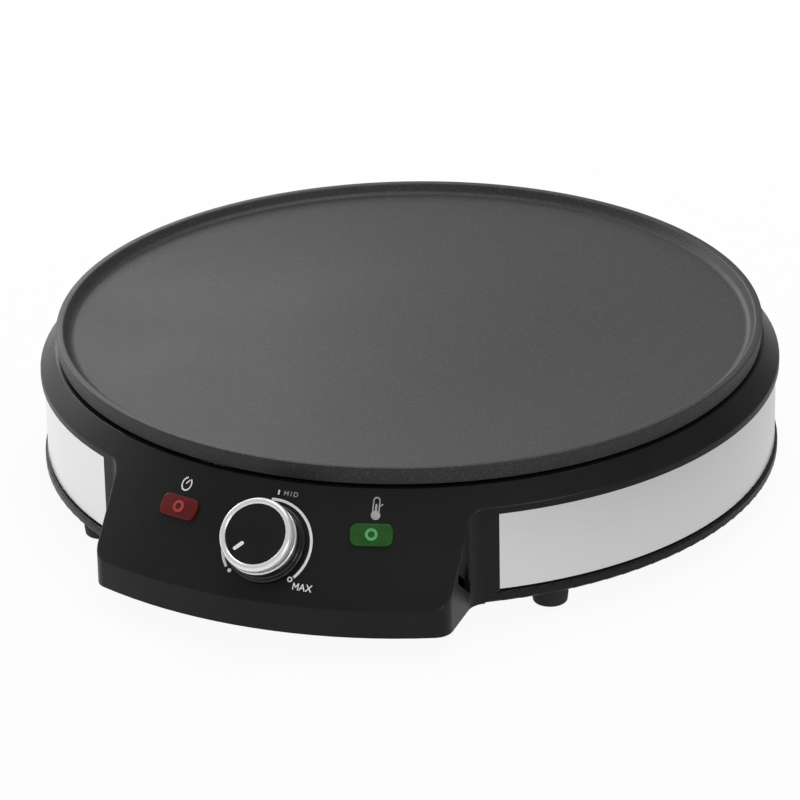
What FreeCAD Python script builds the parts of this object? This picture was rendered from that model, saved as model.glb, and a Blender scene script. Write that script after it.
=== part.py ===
"""Electric crepe maker: a baking plate on a moulded housing with a front control panel.

Millimetres, +Z up. The feet stand on z = 0, the control panel faces -Y and the origin lies under
the middle of the part's box. Every piece is first made round the baking plate's own axis, where
r is the distance from that axis, and is then moved back by AXIS_Y as it is written.
"""
import FreeCAD, Part
import math
import os

V = FreeCAD.Vector
UP = V(0, 0, 1)

# Baking plate
PLATE_R = 150.0
RIM_SIDE_H = 7.3
RIM_TAPER = 0.6
RIM_LAND = 3.2
RIM_SLOPE = 2.5
RIM_EDGE = 0.5
DISH_DEPTH = 4.0
DISH_FILLET = 2.0
PLATE_T = 6.0
PLATE_DISC_INSET = 8.0
BOSS_R = 7.0
BOSS_INSET = 24.0
BOSS_H = 12.0
BOSS_SCREW_DEPTH = 10.0
SCREW_TIP_GAP = 1.0

# Housing
FOOT_STAND = 8.9
FLANGE_SINK = 0.3
FLANGE_H = 4.3
BAND_GAP = 0.6
BAND_SINK = 1.5
BAND_T = 0.8
BAND_H = 34.4
BAND_HALF_ANGLE = 33.0
BAND_END_GAP = 0.3
BAND_TOP_FIT = 0.1
FASCIA_H = 3.0
SHOULDER_STEP = 6.6
LIP_STEP = 0.7
LIP_LAND = 3.0
LIP_GAP = 1.25
CONE_DROP = 1.144
WALL_T = 2.4
PANEL_REACH = 26.3
PANEL_HALF_W = 76.0
PANEL_CORNER_R = 8.0
PANEL_NOTCH_R = 9.0
CONE_EDGE_R = 1.5
FLANGE_EDGE_R = 0.8
LIP_EDGE_R = 0.7

# Scoop and air slot in each side of the panel: how far their rear end lies behind the shoulder's
# front, its height, and their lean
SLOT_SETBACK = 16.3
SLOT_REAR_Z = 15.5
SLOT_L = 13.5
SLOT_RISE = 11.0
SLOT_H = 5.5
SCOOP_H = 8.0
SCOOP_TOP_L = 5.5
SCOOP_DEPTH = 1.6
SCOOP_OVERCUT = 0.01

# Bottom cover
TRAY_T = 2.5
TRAY_FIT = 0.3
TRAY_POST_R = 5.5
TRAY_POST_BORE_R = 2.3
TRAY_COUNTERBORE_R = 4.2
TRAY_COUNTERBORE_H = 6.0
TRAY_POST_H = 12.1
AIR_SLOT_L = 22.0
AIR_SLOT_W = 2.6
AIR_SLOT_PITCH = 9.0
AIR_SLOT_COUNT = 5
HOUSING_BOSS_R = 5.0
HOUSING_BOSS_INSET = 4.6
HOUSING_BOSS_H = 40.0
HOUSING_BOSS_BORE_H = 12.0
HOUSING_BOSS_ANGLES = (60.0, 105.0, 165.0, 195.0, 255.0, 300.0)
PANEL_BOSS_SIDE_INSET = 18.0
PANEL_BOSS_FRONT_INSET = 19.6

# Feet
FOOT_R = 7.5
FOOT_INSET = 11.0
FOOT_ANGLE = 42.5
FOOT_EDGE = 1.0
FOOT_SOCKET_R = 3.6
FOOT_SOCKET_H = 5.0
FOOT_SCREW_SINK = 4.0

# Screws
M4_R = 2.0
M4_HEAD_R = 3.8
M4_HEAD_H = 2.6
M3_R = 1.5
M3_HEAD_R = 2.8
M3_HEAD_H = 1.9
SCREW_FIT = 0.1
THREAD_FIT = 0.02
SCREW_END_GAP = 1.0

# Heating element
ELEMENT_R = 3.3
ELEMENT_FLAT = 0.8
ELEMENT_INSET = 26.0
ELEMENT_GAP_ANGLE = 14.0
ELEMENT_LEG_L = 14.0
ELEMENT_PIN_R = 1.2
ELEMENT_PIN_L = 7.0
SEAL_R = 3.0
SEAL_H = 4.0
CLAMP_ANGLES = (60.0, 180.0, 300.0)
CLAMP_T = 1.5
CLAMP_W = 12.0
CLAMP_SCREW_OFFSET = 12.0
CLAMP_PAD_R = 5.0

# Heat shield and what carries it
SHIELD_MARGIN = 14.0
SHIELD_T = 0.6
SHIELD_RIM_H = 5.0
SHIELD_LEG_HOLE_R = 5.0
SHIELD_TUBE_HOLE_R = 2.5
SPACER_R = 5.5
SPACER_BORE_R = 2.3

# Knob and thermostat
KNOB_SETBACK = 15.6
KNOB_GAP = 0.6
KNOB_BASE_R = 16.4
KNOB_BASE_H = 1.6
KNOB_WAIST_R = 14.6
KNOB_RIDGE_R = 15.2
KNOB_RIDGE_H = 1.5
KNOB_RIDGE_DROP = 2.1
KNOB_H = 14.8
KNOB_RING_R = 15.2
KNOB_RING_H = 3.8
KNOB_CHAMFER = 1.0
KNOB_FACE_R = 12.4
KNOB_FACE_T = 2.0
KNOB_FACE_SINK = 0.5
KNOB_FIT = 0.05
SPINDLE_R = 3.0
SPINDLE_FLAT = 2.0
SPINDLE_FIT = 0.05
SPINDLE_IN_KNOB = 11.0
SPINDLE_IN_BODY = 8.0
SPINDLE_END_GAP = 0.3
PAD_T = 1.2
PAD_MARGIN = 1.0
THERMOSTAT_W = 34.0
THERMOSTAT_L = 26.0
THERMOSTAT_H = 13.0
THERMOSTAT_SCREW_SPAN = 22.0
THERMOSTAT_SCREW_GRIP = 4.0
THERMOSTAT_TAB_SPAN = 16.0
THERMOSTAT_TAB_W = 6.0
THERMOSTAT_TAB_T = 0.8
THERMOSTAT_TAB_L = 6.0
THERMOSTAT_NECK_R = 5.0
CAPILLARY_R = 0.8
BULB_R = 3.0
BULB_L = 60.0
BULB_ELEMENT_GAP = 37.0
CAPILLARY_PIN_GAP = 15.7
CAPILLARY_Z = 36.0
CAPILLARY_BEND = 5.0
CAPILLARY_RISE = 7.0
BULB_CLIP_T = 0.8
BULB_CLIP_W = 12.0
BULB_CLIP_TAB = 10.0
BULB_SCREW_COVER = 2.0

# Indicator lamps
LENS_SETBACK = 20.3
LENS_ANGLE = 14.55
LENS_W = 17.2
LENS_H = 9.2
LENS_CORNER = 3.0
LENS_PROUD = 1.2
LENS_STEM_R = 4.0
LENS_STEM_L = 9.0
LENS_STEM_WALL = 1.0
LENS_FIT = 0.1
LENS_FLANGE = 1.0
LENS_FLANGE_T = 1.2
LENS_FLANGE_GAP = 0.25
LAMP_R = 2.6
LAMP_L = 10.0
HOLDER_R = 5.6
HOLDER_L = 12.0
HOLDER_BASE = 2.0

# Wiring, terminal block and cord gland
WIRE_R = 1.2
WIRE_BEND = 6.0
WIRE_DROP = 10.0
WIRE_BLOCK_LEAD = 12.0
WIRE_SIDE_X = 70.0
WIRE_SIDE_Y = 45.0
LAMP_WIRE_R = 0.8
LAMP_WIRE_SPREAD = 2.0
LAMP_WIRE_DROP = 5.0
LAMP_WIRE_SINK = 3.0
LAMP_WIRE_BEND = 3.0
BLOCK_W = 30.0
BLOCK_D = 16.0
BLOCK_H = 13.0
BLOCK_CLAMP_GAP = 26.0
BLOCK_WAYS = 3
BLOCK_WAY_R = 1.8
BLOCK_SCREW_R = 2.0
BLOCK_SCREW_H = 4.0
BLOCK_SLOT_W = 0.8
GLAND_R = 7.0
GLAND_HEAD_R = 9.0
GLAND_HEAD_T = 2.2
GLAND_BORE_R = 3.6
GLAND_LIP = 1.2
GLAND_LIP_T = 2.0
GLAND_Z = 25.0
GLAND_FIT = 0.1
GLAND_CLIP_GAP = 0.1
CORD_CLAMP_INSET = 26.6
CORD_CLAMP_W = 26.0
CORD_CLAMP_D = 8.0
CORD_CLAMP_T = 4.0
CORD_SADDLE_R = 3.4
CORD_HUMP_T = 2.5
CORD_CLAMP_SCREW_X = 9.0
FUSE_R = 3.5
FUSE_L = 22.0
FUSE_X = 45.0
FUSE_CLIP_T = 0.8
FUSE_CLIP_W = 10.0
FUSE_CLIP_TAB = 9.0
SHIELD_SCREW_L = 4.0
EARTH_X = -70.0
EARTH_Y = 50.0
EARTH_TAG_R = 4.5
EARTH_TAG_T = 0.8
EARTH_TAG_L = 12.0

# Radii and places that follow
PLATE_DISC_R = PLATE_R - PLATE_DISC_INSET
BOSS_CIRCLE_R = PLATE_DISC_R - BOSS_INSET
ELEMENT_CIRCLE_R = BOSS_CIRCLE_R - ELEMENT_INSET
SHIELD_R = BOSS_CIRCLE_R + SHIELD_MARGIN
LIP_R = PLATE_R + LIP_STEP
SHOULDER_R = LIP_R + SHOULDER_STEP
FLANGE_R = SHOULDER_R - FLANGE_SINK
BAND_R = SHOULDER_R - BAND_SINK
BAND_WALL_R = BAND_R - BAND_T
HOUSING_INNER_R = BAND_WALL_R - WALL_T
HOUSING_BOSS_CIRCLE_R = HOUSING_INNER_R - HOUSING_BOSS_INSET
FOOT_CIRCLE_R = FLANGE_R - FOOT_INSET
KNEE_R = SHOULDER_R + PANEL_REACH
KNOB_R_FROM_AXIS = KNEE_R - KNOB_SETBACK
LENS_R_FROM_AXIS = KNEE_R - LENS_SETBACK
PANEL_BOSS_R = KNEE_R - PANEL_BOSS_FRONT_INSET
PANEL_BOSS_X = PANEL_HALF_W - PANEL_BOSS_SIDE_INSET
SLOT_REAR_Y = SLOT_SETBACK - SHOULDER_R
CORD_CLAMP_Y = HOUSING_INNER_R - CORD_CLAMP_INSET
BLOCK_Y = CORD_CLAMP_Y - BLOCK_CLAMP_GAP - BLOCK_D / 2
WIRE_BLOCK_Y = BLOCK_Y - BLOCK_D / 2 - WIRE_BLOCK_LEAD
BULB_Y = BULB_ELEMENT_GAP - ELEMENT_CIRCLE_R
CAPILLARY_X = ELEMENT_CIRCLE_R * math.sin(math.radians(ELEMENT_GAP_ANGLE)) + CAPILLARY_PIN_GAP

# Heights that follow
FLANGE_TOP_Z = FOOT_STAND + FLANGE_H
BAND_BOTTOM_Z = FLANGE_TOP_Z + BAND_GAP
BAND_TOP_Z = BAND_BOTTOM_Z + BAND_H
SHOULDER_Z = BAND_TOP_Z + FASCIA_H
LIP_Z = SHOULDER_Z + (SHOULDER_R - LIP_R) * CONE_DROP
RIM_BOTTOM_Z = LIP_Z + LIP_GAP
PLATE_TOP_Z = RIM_BOTTOM_Z + RIM_SIDE_H
DISH_Z = PLATE_TOP_Z - DISH_DEPTH
PLATE_UNDER_Z = DISH_Z - PLATE_T
BOSS_BOTTOM_Z = PLATE_UNDER_Z - BOSS_H
TRAY_TOP_Z = FOOT_STAND + TRAY_T
TRAY_POST_TOP_Z = FOOT_STAND + TRAY_POST_H

# The cone of the panel: its outward normal leans up from the horizontal
CONE_TILT = math.atan2(1.0, CONE_DROP)
NORMAL_R = math.cos(CONE_TILT)
NORMAL_Z = math.sin(CONE_TILT)
PANEL_NORMAL = V(0, -NORMAL_R, NORMAL_Z)
PANEL_UPHILL = V(0, NORMAL_Z, NORMAL_R)


def cone_z(r):
    """Height of the outer cone at distance r from the plate's axis."""
    return LIP_Z - (r - LIP_R) * CONE_DROP


def inner_cone_z(r):
    """Height of the cone's inner face, one wall under the outer one."""
    return cone_z(r) - WALL_T / NORMAL_Z


# Where the part's box ends in front and behind, seen from the plate's axis
KNOB_TIP_R = KNOB_R_FROM_AXIS + (KNOB_GAP + KNOB_H) * NORMAL_R
KNOB_REACH = KNOB_TIP_R + (KNOB_RING_R - KNOB_CHAMFER) * NORMAL_Z
FRONT_REACH = max(KNEE_R, KNOB_REACH)
REAR_REACH = max(SHOULDER_R, BAND_R + GLAND_HEAD_T)
AXIS_Y = (FRONT_REACH - REAR_REACH) / 2


def around(angle_deg, r, z=0.0):
    """A point at an angle from the front, going towards +X."""
    a = math.radians(angle_deg)
    return V(r * math.sin(a), -r * math.cos(a), z)


def revolve(points, sweep_deg=360.0, start_deg=0.0):
    """Turn an outline of (r, z) points about the plate's axis."""
    wire = Part.makePolygon([V(r, 0, z) for r, z in points] + [V(points[0][0], 0, points[0][1])])
    solid = Part.Face(wire).revolve(V(0, 0, 0), UP, sweep_deg)
    # a sweep that starts at +X is turned so that start_deg is measured from the front
    solid.rotate(V(0, 0, 0), UP, start_deg - 90.0)
    return solid


def cylinder(r, h, base, axis=UP):
    return Part.makeCylinder(r, h, base, axis)


def box(x0, x1, y0, y1, z0, z1):
    return Part.makeBox(x1 - x0, y1 - y0, z1 - z0, V(x0, y0, z0))


def rounded_plate(width, height, corner, thickness):
    """A rounded rectangle in the XY plane about the origin, thickened along +Z."""
    plate = box(-width / 2, width / 2, -height / 2, height / 2, 0, thickness)
    upright = [e for e in plate.Edges if abs(e.Vertexes[0].X - e.Vertexes[-1].X) < 1e-6
               and abs(e.Vertexes[0].Y - e.Vertexes[-1].Y) < 1e-6]
    return plate.makeFillet(corner, upright)


def on_panel(shape, angle_deg, r, lift=0.0):
    """Lay a shape made about the origin with +Z outwards on the panel's cone."""
    placed = shape.copy()
    turn = FreeCAD.Rotation(V(1, 0, 0), PANEL_UPHILL, PANEL_NORMAL, "ZXY")
    foot = V(0, -r, cone_z(r)) + PANEL_NORMAL * lift
    spin = FreeCAD.Placement(V(0, 0, 0), FreeCAD.Rotation(UP, angle_deg))
    placed.Placement = spin.multiply(FreeCAD.Placement(foot, turn)).multiply(placed.Placement)
    return placed


def union(shapes):
    first = shapes[0]
    return first.fuse(shapes[1:]).removeSplitter() if len(shapes) > 1 else first


def round_tube(points, bend_r, tube_r):
    """A tube along straight runs joined by tangent arcs."""
    edges = []
    last = points[0]
    for before, corner, after in zip(points, points[1:], points[2:]):
        into = (corner - before).normalize()
        out = (after - corner).normalize()
        turn = into.getAngle(out)
        reach = bend_r * math.tan(turn / 2)
        start = corner - into * reach
        end = corner + out * reach
        middle = (out - into).normalize()
        mid = corner + middle * (bend_r / math.cos(turn / 2) - bend_r)
        edges.append(Part.LineSegment(last, start).toShape())
        edges.append(Part.Arc(start, mid, end).toShape())
        last = end
    edges.append(Part.LineSegment(last, points[-1]).toShape())
    path = Part.Wire(edges)
    heading = (points[1] - points[0]).normalize()
    section = Part.Wire(Part.makeCircle(tube_r, points[0], heading))
    return path.makePipeShell([section], True, False)


# Baking plate

def baking_plate():
    outer = [
        (0, PLATE_UNDER_Z),
        (PLATE_DISC_R, PLATE_UNDER_Z),
        (PLATE_DISC_R, RIM_BOTTOM_Z),
        (PLATE_R - RIM_TAPER, RIM_BOTTOM_Z),
        (PLATE_R, PLATE_TOP_Z - RIM_EDGE),
        (PLATE_R - RIM_EDGE, PLATE_TOP_Z),
        (PLATE_R - RIM_LAND, PLATE_TOP_Z),
        (PLATE_R - RIM_LAND - RIM_SLOPE, DISH_Z),
        (0, DISH_Z),
    ]
    plate = revolve(outer)
    corner_r = PLATE_R - RIM_LAND - RIM_SLOPE
    inside = [e for e in plate.Edges if abs(e.BoundBox.ZMax - DISH_Z) < 1e-6
              and abs(e.BoundBox.ZMin - DISH_Z) < 1e-6 and abs(e.BoundBox.XMax - corner_r) < 1e-3]
    plate = plate.makeFillet(DISH_FILLET, inside)
    bosses = [cylinder(BOSS_R, BOSS_H, around(a, BOSS_CIRCLE_R, BOSS_BOTTOM_Z)) for a in plate_angles()]
    clamp_pads = [cylinder(CLAMP_PAD_R, clamp_seat_depth(), V(p.x, p.y, PLATE_UNDER_Z - clamp_seat_depth()))
                  for p in clamp_screw_places()]
    plate = union([plate] + bosses + clamp_pads)
    holes = [cylinder(M4_R + THREAD_FIT, BOSS_SCREW_DEPTH, around(a, BOSS_CIRCLE_R, BOSS_BOTTOM_Z))
             for a in plate_angles()]
    seat_z = PLATE_UNDER_Z - clamp_seat_depth()
    holes += [cylinder(M3_R + THREAD_FIT, clamp_seat_depth(), V(p.x, p.y, seat_z))
              for p in clamp_screw_places()]
    clip_screw = bulb_clip_screw_place()
    clip_foot = V(clip_screw.x, clip_screw.y, PLATE_UNDER_Z)
    holes.append(cylinder(M3_R + THREAD_FIT, PLATE_T - BULB_SCREW_COVER, clip_foot))
    return plate.cut(holes)


def plate_angles():
    return [45.0 + 90.0 * i for i in range(4)]


def element_bottom_z():
    return PLATE_UNDER_Z - 2 * ELEMENT_R + ELEMENT_FLAT


def clamp_seat_depth():
    return PLATE_UNDER_Z - element_bottom_z()


def clamp_screw_places():
    return [around(a, ELEMENT_CIRCLE_R - CLAMP_SCREW_OFFSET) for a in CLAMP_ANGLES]


# Heating element: a tube bent to an open ring, flattened where it meets the plate

def element_axis_z():
    return PLATE_UNDER_Z - ELEMENT_R + ELEMENT_FLAT


def heating_element():
    sweep = 360.0 - 2 * ELEMENT_GAP_ANGLE
    ring = Part.makeTorus(ELEMENT_CIRCLE_R, ELEMENT_R, V(0, 0, element_axis_z()), UP)
    gap = revolve([(ELEMENT_CIRCLE_R - 2 * ELEMENT_R, PLATE_UNDER_Z - 3 * ELEMENT_R),
                   (ELEMENT_CIRCLE_R + 2 * ELEMENT_R, PLATE_UNDER_Z - 3 * ELEMENT_R),
                   (ELEMENT_CIRCLE_R + 2 * ELEMENT_R, PLATE_UNDER_Z + ELEMENT_R),
                   (ELEMENT_CIRCLE_R - 2 * ELEMENT_R, PLATE_UNDER_Z + ELEMENT_R)],
                  360.0 - sweep, -ELEMENT_GAP_ANGLE)
    top = box(-PLATE_R, PLATE_R, -PLATE_R, PLATE_R, PLATE_UNDER_Z, PLATE_UNDER_Z + 2 * ELEMENT_R)
    legs = [cylinder(ELEMENT_R, ELEMENT_LEG_L, p + V(0, 0, element_axis_z() - ELEMENT_LEG_L))
            for p in element_ends()]
    knees = [Part.makeSphere(ELEMENT_R, p + V(0, 0, element_axis_z())) for p in element_ends()]
    return union([ring.cut(gap)] + knees + legs).cut(top)


def element_ends():
    return [around(s * ELEMENT_GAP_ANGLE, ELEMENT_CIRCLE_R) for s in (-1, 1)]


def element_seals():
    z = element_axis_z() - ELEMENT_LEG_L - SEAL_H
    return Part.Compound([cylinder(SEAL_R, SEAL_H, p + V(0, 0, z)).cut(
        cylinder(ELEMENT_PIN_R + THREAD_FIT, SEAL_H, p + V(0, 0, z))) for p in element_ends()])


def element_tabs():
    top = element_axis_z() - ELEMENT_LEG_L
    pin_l = ELEMENT_PIN_L + SEAL_H
    return Part.Compound([cylinder(ELEMENT_PIN_R, pin_l, p + V(0, 0, top - pin_l))
                          for p in element_ends()])


def element_clamp(angle):
    """A strap under the element, screwed to a pad on the plate inside the ring."""
    z = element_bottom_z()
    inner = ELEMENT_CIRCLE_R - CLAMP_SCREW_OFFSET - CLAMP_PAD_R
    outer = ELEMENT_CIRCLE_R + ELEMENT_R
    strap = box(-CLAMP_W / 2, CLAMP_W / 2, -outer, -inner, z - CLAMP_T, z)
    lip_y = -outer - CLAMP_T
    lip = box(-CLAMP_W / 2, CLAMP_W / 2, lip_y, -outer, z - CLAMP_T, z + ELEMENT_R)
    hole = cylinder(M3_R + SCREW_FIT, CLAMP_T, V(0, -ELEMENT_CIRCLE_R + CLAMP_SCREW_OFFSET, z - CLAMP_T))
    clamp = union([strap, lip]).cut(hole)
    clamp.rotate(V(0, 0, 0), UP, angle)
    return clamp


def clamp_screws():
    z = element_bottom_z() - CLAMP_T
    length = CLAMP_T + clamp_seat_depth() - SCREW_END_GAP
    return Part.Compound([screw(V(p.x, p.y, z), M3_R, M3_HEAD_R, M3_HEAD_H, length)
                          for p in clamp_screw_places()])


def screw(under_head, shank_r, head_r, head_h, shank_l, axis=UP):
    """A screw whose shank goes along axis from under its head."""
    shank = cylinder(shank_r, shank_l, under_head, axis)
    head = cylinder(head_r, head_h, under_head - axis * head_h, axis)
    slot_w = shank_r * 0.5
    slot = box(-head_r, head_r, -slot_w / 2, slot_w / 2, -head_h, -head_h / 2)
    slot.Placement = FreeCAD.Placement(under_head, FreeCAD.Rotation(UP, axis))
    return shank.fuse(head).cut(slot)


# Heat shield, sleeves and long screws

def shield_z():
    return BOSS_BOTTOM_Z - SHIELD_T


def heat_shield():
    pan = revolve([(0, shield_z()), (SHIELD_R, shield_z()), (SHIELD_R, shield_z() + SHIELD_RIM_H),
                   (SHIELD_R - SHIELD_T, shield_z() + SHIELD_RIM_H),
                   (SHIELD_R - SHIELD_T, shield_z() + SHIELD_T),
                   (0, shield_z() + SHIELD_T)])
    holes = [cylinder(SPACER_BORE_R, SHIELD_T, around(a, BOSS_CIRCLE_R, shield_z()))
             for a in plate_angles()]
    holes += [cylinder(SHIELD_LEG_HOLE_R, SHIELD_T, p + V(0, 0, shield_z())) for p in element_ends()]
    holes.append(cylinder(SHIELD_TUBE_HOLE_R, SHIELD_T, V(CAPILLARY_X, BULB_Y, shield_z())))
    holes += [cylinder(M3_R + THREAD_FIT, SHIELD_T, V(p.x, p.y, shield_z()))
              for p in (fuse_screw_place(), V(EARTH_X, EARTH_Y, 0))]
    return pan.cut(holes)


def plate_spacer(angle):
    height = shield_z() - TRAY_POST_TOP_Z
    base = around(angle, BOSS_CIRCLE_R, TRAY_POST_TOP_Z)
    return cylinder(SPACER_R, height, base).cut(cylinder(SPACER_BORE_R, height, base))


def plate_screws():
    seat = FOOT_STAND + TRAY_COUNTERBORE_H
    length = BOSS_BOTTOM_Z + BOSS_SCREW_DEPTH - SCREW_TIP_GAP - seat
    return Part.Compound([screw(around(a, BOSS_CIRCLE_R, seat), M4_R, M4_HEAD_R, M4_HEAD_H, length)
                          for a in plate_angles()])


# Housing

def panel_prism(half_w, reach_r, corner_r, z0, z1):
    """The panel's plan, as an upright block that ends in an arc about the plate's axis."""
    block = box(-half_w, half_w, -2 * reach_r, 0, z0, z1)
    block = block.common(cylinder(reach_r, z1 - z0, V(0, 0, z0)))
    corner_y = -math.sqrt(reach_r ** 2 - half_w ** 2)
    corners = [e for e in block.Edges if abs(e.BoundBox.YMin - corner_y) < 1e-3
               and abs(e.BoundBox.YMax - corner_y) < 1e-3]
    return block.makeFillet(corner_r, corners)


def notch_fillet(body_r, z0, z1):
    """Upright block that rounds the inner corner between the panel's side and the round body."""
    centre_x = PANEL_HALF_W + PANEL_NOTCH_R
    centre_y = -math.sqrt((body_r + PANEL_NOTCH_R) ** 2 - centre_x ** 2)
    centre = V(centre_x, centre_y, z0)
    on_side = V(PANEL_HALF_W, centre_y, z0)
    on_body = centre * (body_r / (body_r + PANEL_NOTCH_R))
    on_body.z = z0
    half_way = ((on_side - centre).normalize() + (on_body - centre).normalize()).normalize()
    arc = Part.Arc(on_side, centre + half_way * PANEL_NOTCH_R, on_body).toShape()
    inside = V(PANEL_HALF_W - PANEL_NOTCH_R, on_body.y + PANEL_NOTCH_R, z0)
    wire = Part.Wire([arc, Part.LineSegment(on_body, inside).toShape(),
                      Part.LineSegment(inside, on_side).toShape()])
    return Part.Face(wire).extrude(V(0, 0, z1 - z0))


def mirrored(shape):
    return shape.mirror(V(0, 0, 0), V(1, 0, 0))


def panel_outer():
    """The panel, from the bottom edge up to the cone."""
    tall = panel_prism(PANEL_HALF_W, KNEE_R, PANEL_CORNER_R, FOOT_STAND, LIP_Z)
    notch = notch_fillet(SHOULDER_R, FOOT_STAND, LIP_Z)
    under_cone = revolve([(0, FOOT_STAND), (KNEE_R, FOOT_STAND), (KNEE_R, cone_z(KNEE_R)),
                          (LIP_R, LIP_Z), (0, LIP_Z)])
    return union([tall, notch, mirrored(notch)]).common(under_cone)


def edge_points(edge):
    return [edge.valueAt(edge.getParameterByLength(edge.Length * share))
            for share in (0.02, 0.35, 0.65, 0.98)]


def edge_reach(edge):
    """The greatest distance of an edge from the plate's axis."""
    return max(math.hypot(p.x, p.y) for p in edge_points(edge))


def on_cone(edge):
    return all(abs(p.z - cone_z(math.hypot(p.x, p.y))) < 1e-3 for p in edge_points(edge))


def ring_edges(shape, r, z):
    """The full or part circles of a turned shape at one radius and height."""
    return [e for e in shape.Edges if all(abs(p.z - z) < 1e-6 and abs(math.hypot(p.x, p.y) - r) < 1e-4
                                          for p in edge_points(e))]


def body_outer():
    """The round body with its flange, the seat of the steel band, the fascia and the shoulder."""
    body = revolve([(0, FOOT_STAND), (FLANGE_R, FOOT_STAND),
                    (FLANGE_R, FLANGE_TOP_Z), (BAND_WALL_R, FLANGE_TOP_Z),
                    (BAND_WALL_R, BAND_TOP_Z), (SHOULDER_R, BAND_TOP_Z), (SHOULDER_R, SHOULDER_Z),
                    (LIP_R, LIP_Z), (0, LIP_Z)])
    body = body.makeFillet(LIP_EDGE_R, ring_edges(body, LIP_R, LIP_Z))
    flange_rims = ring_edges(body, FLANGE_R, FLANGE_TOP_Z) + ring_edges(body, FLANGE_R, FOOT_STAND)
    body = body.makeFillet(FLANGE_EDGE_R, flange_rims)
    between_band_ends = revolve([(0, FLANGE_TOP_Z), (FLANGE_R, FLANGE_TOP_Z), (FLANGE_R, BAND_TOP_Z),
                                 (0, BAND_TOP_Z)], 2 * BAND_HALF_ANGLE, -BAND_HALF_ANGLE)
    return union([body, between_band_ends])


def cavity():
    inner_r = KNEE_R - WALL_T
    lip_r = LIP_R - WALL_T * NORMAL_R
    opening_r = LIP_R - LIP_LAND
    lip_z = inner_cone_z(lip_r)
    round_part = revolve([(0, FOOT_STAND), (HOUSING_INNER_R, FOOT_STAND),
                          (HOUSING_INNER_R, inner_cone_z(HOUSING_INNER_R)), (lip_r, lip_z),
                          (opening_r, lip_z), (opening_r, LIP_Z), (0, LIP_Z)])
    under_cone = revolve([(0, FOOT_STAND), (inner_r, FOOT_STAND), (inner_r, inner_cone_z(inner_r)),
                          (lip_r, lip_z), (0, lip_z)])
    prism = panel_prism(PANEL_HALF_W - WALL_T, inner_r, PANEL_CORNER_R - WALL_T, FOOT_STAND, lip_z)
    return round_part.fuse(prism.common(under_cone))


def housing_boss_places():
    ring = [around(a, HOUSING_BOSS_CIRCLE_R) for a in HOUSING_BOSS_ANGLES]
    front_y = -math.sqrt(PANEL_BOSS_R ** 2 - PANEL_BOSS_X ** 2)
    return ring + [V(-PANEL_BOSS_X, front_y, 0), V(PANEL_BOSS_X, front_y, 0)]


def side_slot():
    """Air slot and the scoop above it in the panel's right side, as cutters."""
    outside = PANEL_HALF_W + WALL_T
    rear_low = V(outside, SLOT_REAR_Y, SLOT_REAR_Z)
    along = V(0, -SLOT_L, SLOT_RISE)
    rise = V(0, 0, SLOT_H)
    low = [rear_low, rear_low + along, rear_low + along + rise, rear_low + rise, rear_low]
    slot = Part.Face(Part.makePolygon(low)).extrude(V(-3 * WALL_T, 0, 0))
    rear_up = V(PANEL_HALF_W, SLOT_REAR_Y, SLOT_REAR_Z + SLOT_H)
    front_up = rear_up + along
    top_share = SCOOP_TOP_L / SLOT_L
    rear_top = rear_up + V(0, 0, SCOOP_H) + along * ((1 - top_share) / 2)
    front_top = rear_top + along * top_share
    sink = V(-SCOOP_DEPTH, 0, 0)
    proud = V(SCOOP_OVERCUT, 0, 0)
    faces = [
        [rear_up + proud, front_up + proud, front_top + proud, rear_top + proud],
        [rear_up + proud, front_up + proud, front_up + sink, rear_up + sink],
        [rear_up + sink, front_up + sink, front_top + proud, rear_top + proud],
        [rear_up + proud, rear_up + sink, rear_top + proud],
        [front_up + proud, front_up + sink, front_top + proud],
    ]
    shell = Part.makeShell([Part.Face(Part.makePolygon(f + f[:1])) for f in faces])
    return [slot, Part.makeSolid(shell)]


def gland_hole(fit):
    return cylinder(GLAND_R + fit, 6 * WALL_T, V(0, HOUSING_INNER_R - 3 * WALL_T, GLAND_Z), V(0, 1, 0))


def knob_place(shape, lift=0.0):
    return on_panel(shape, 0.0, KNOB_R_FROM_AXIS, lift)


def thermostat_screw_xs():
    return (-THERMOSTAT_SCREW_SPAN / 2, THERMOSTAT_SCREW_SPAN / 2)


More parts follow.
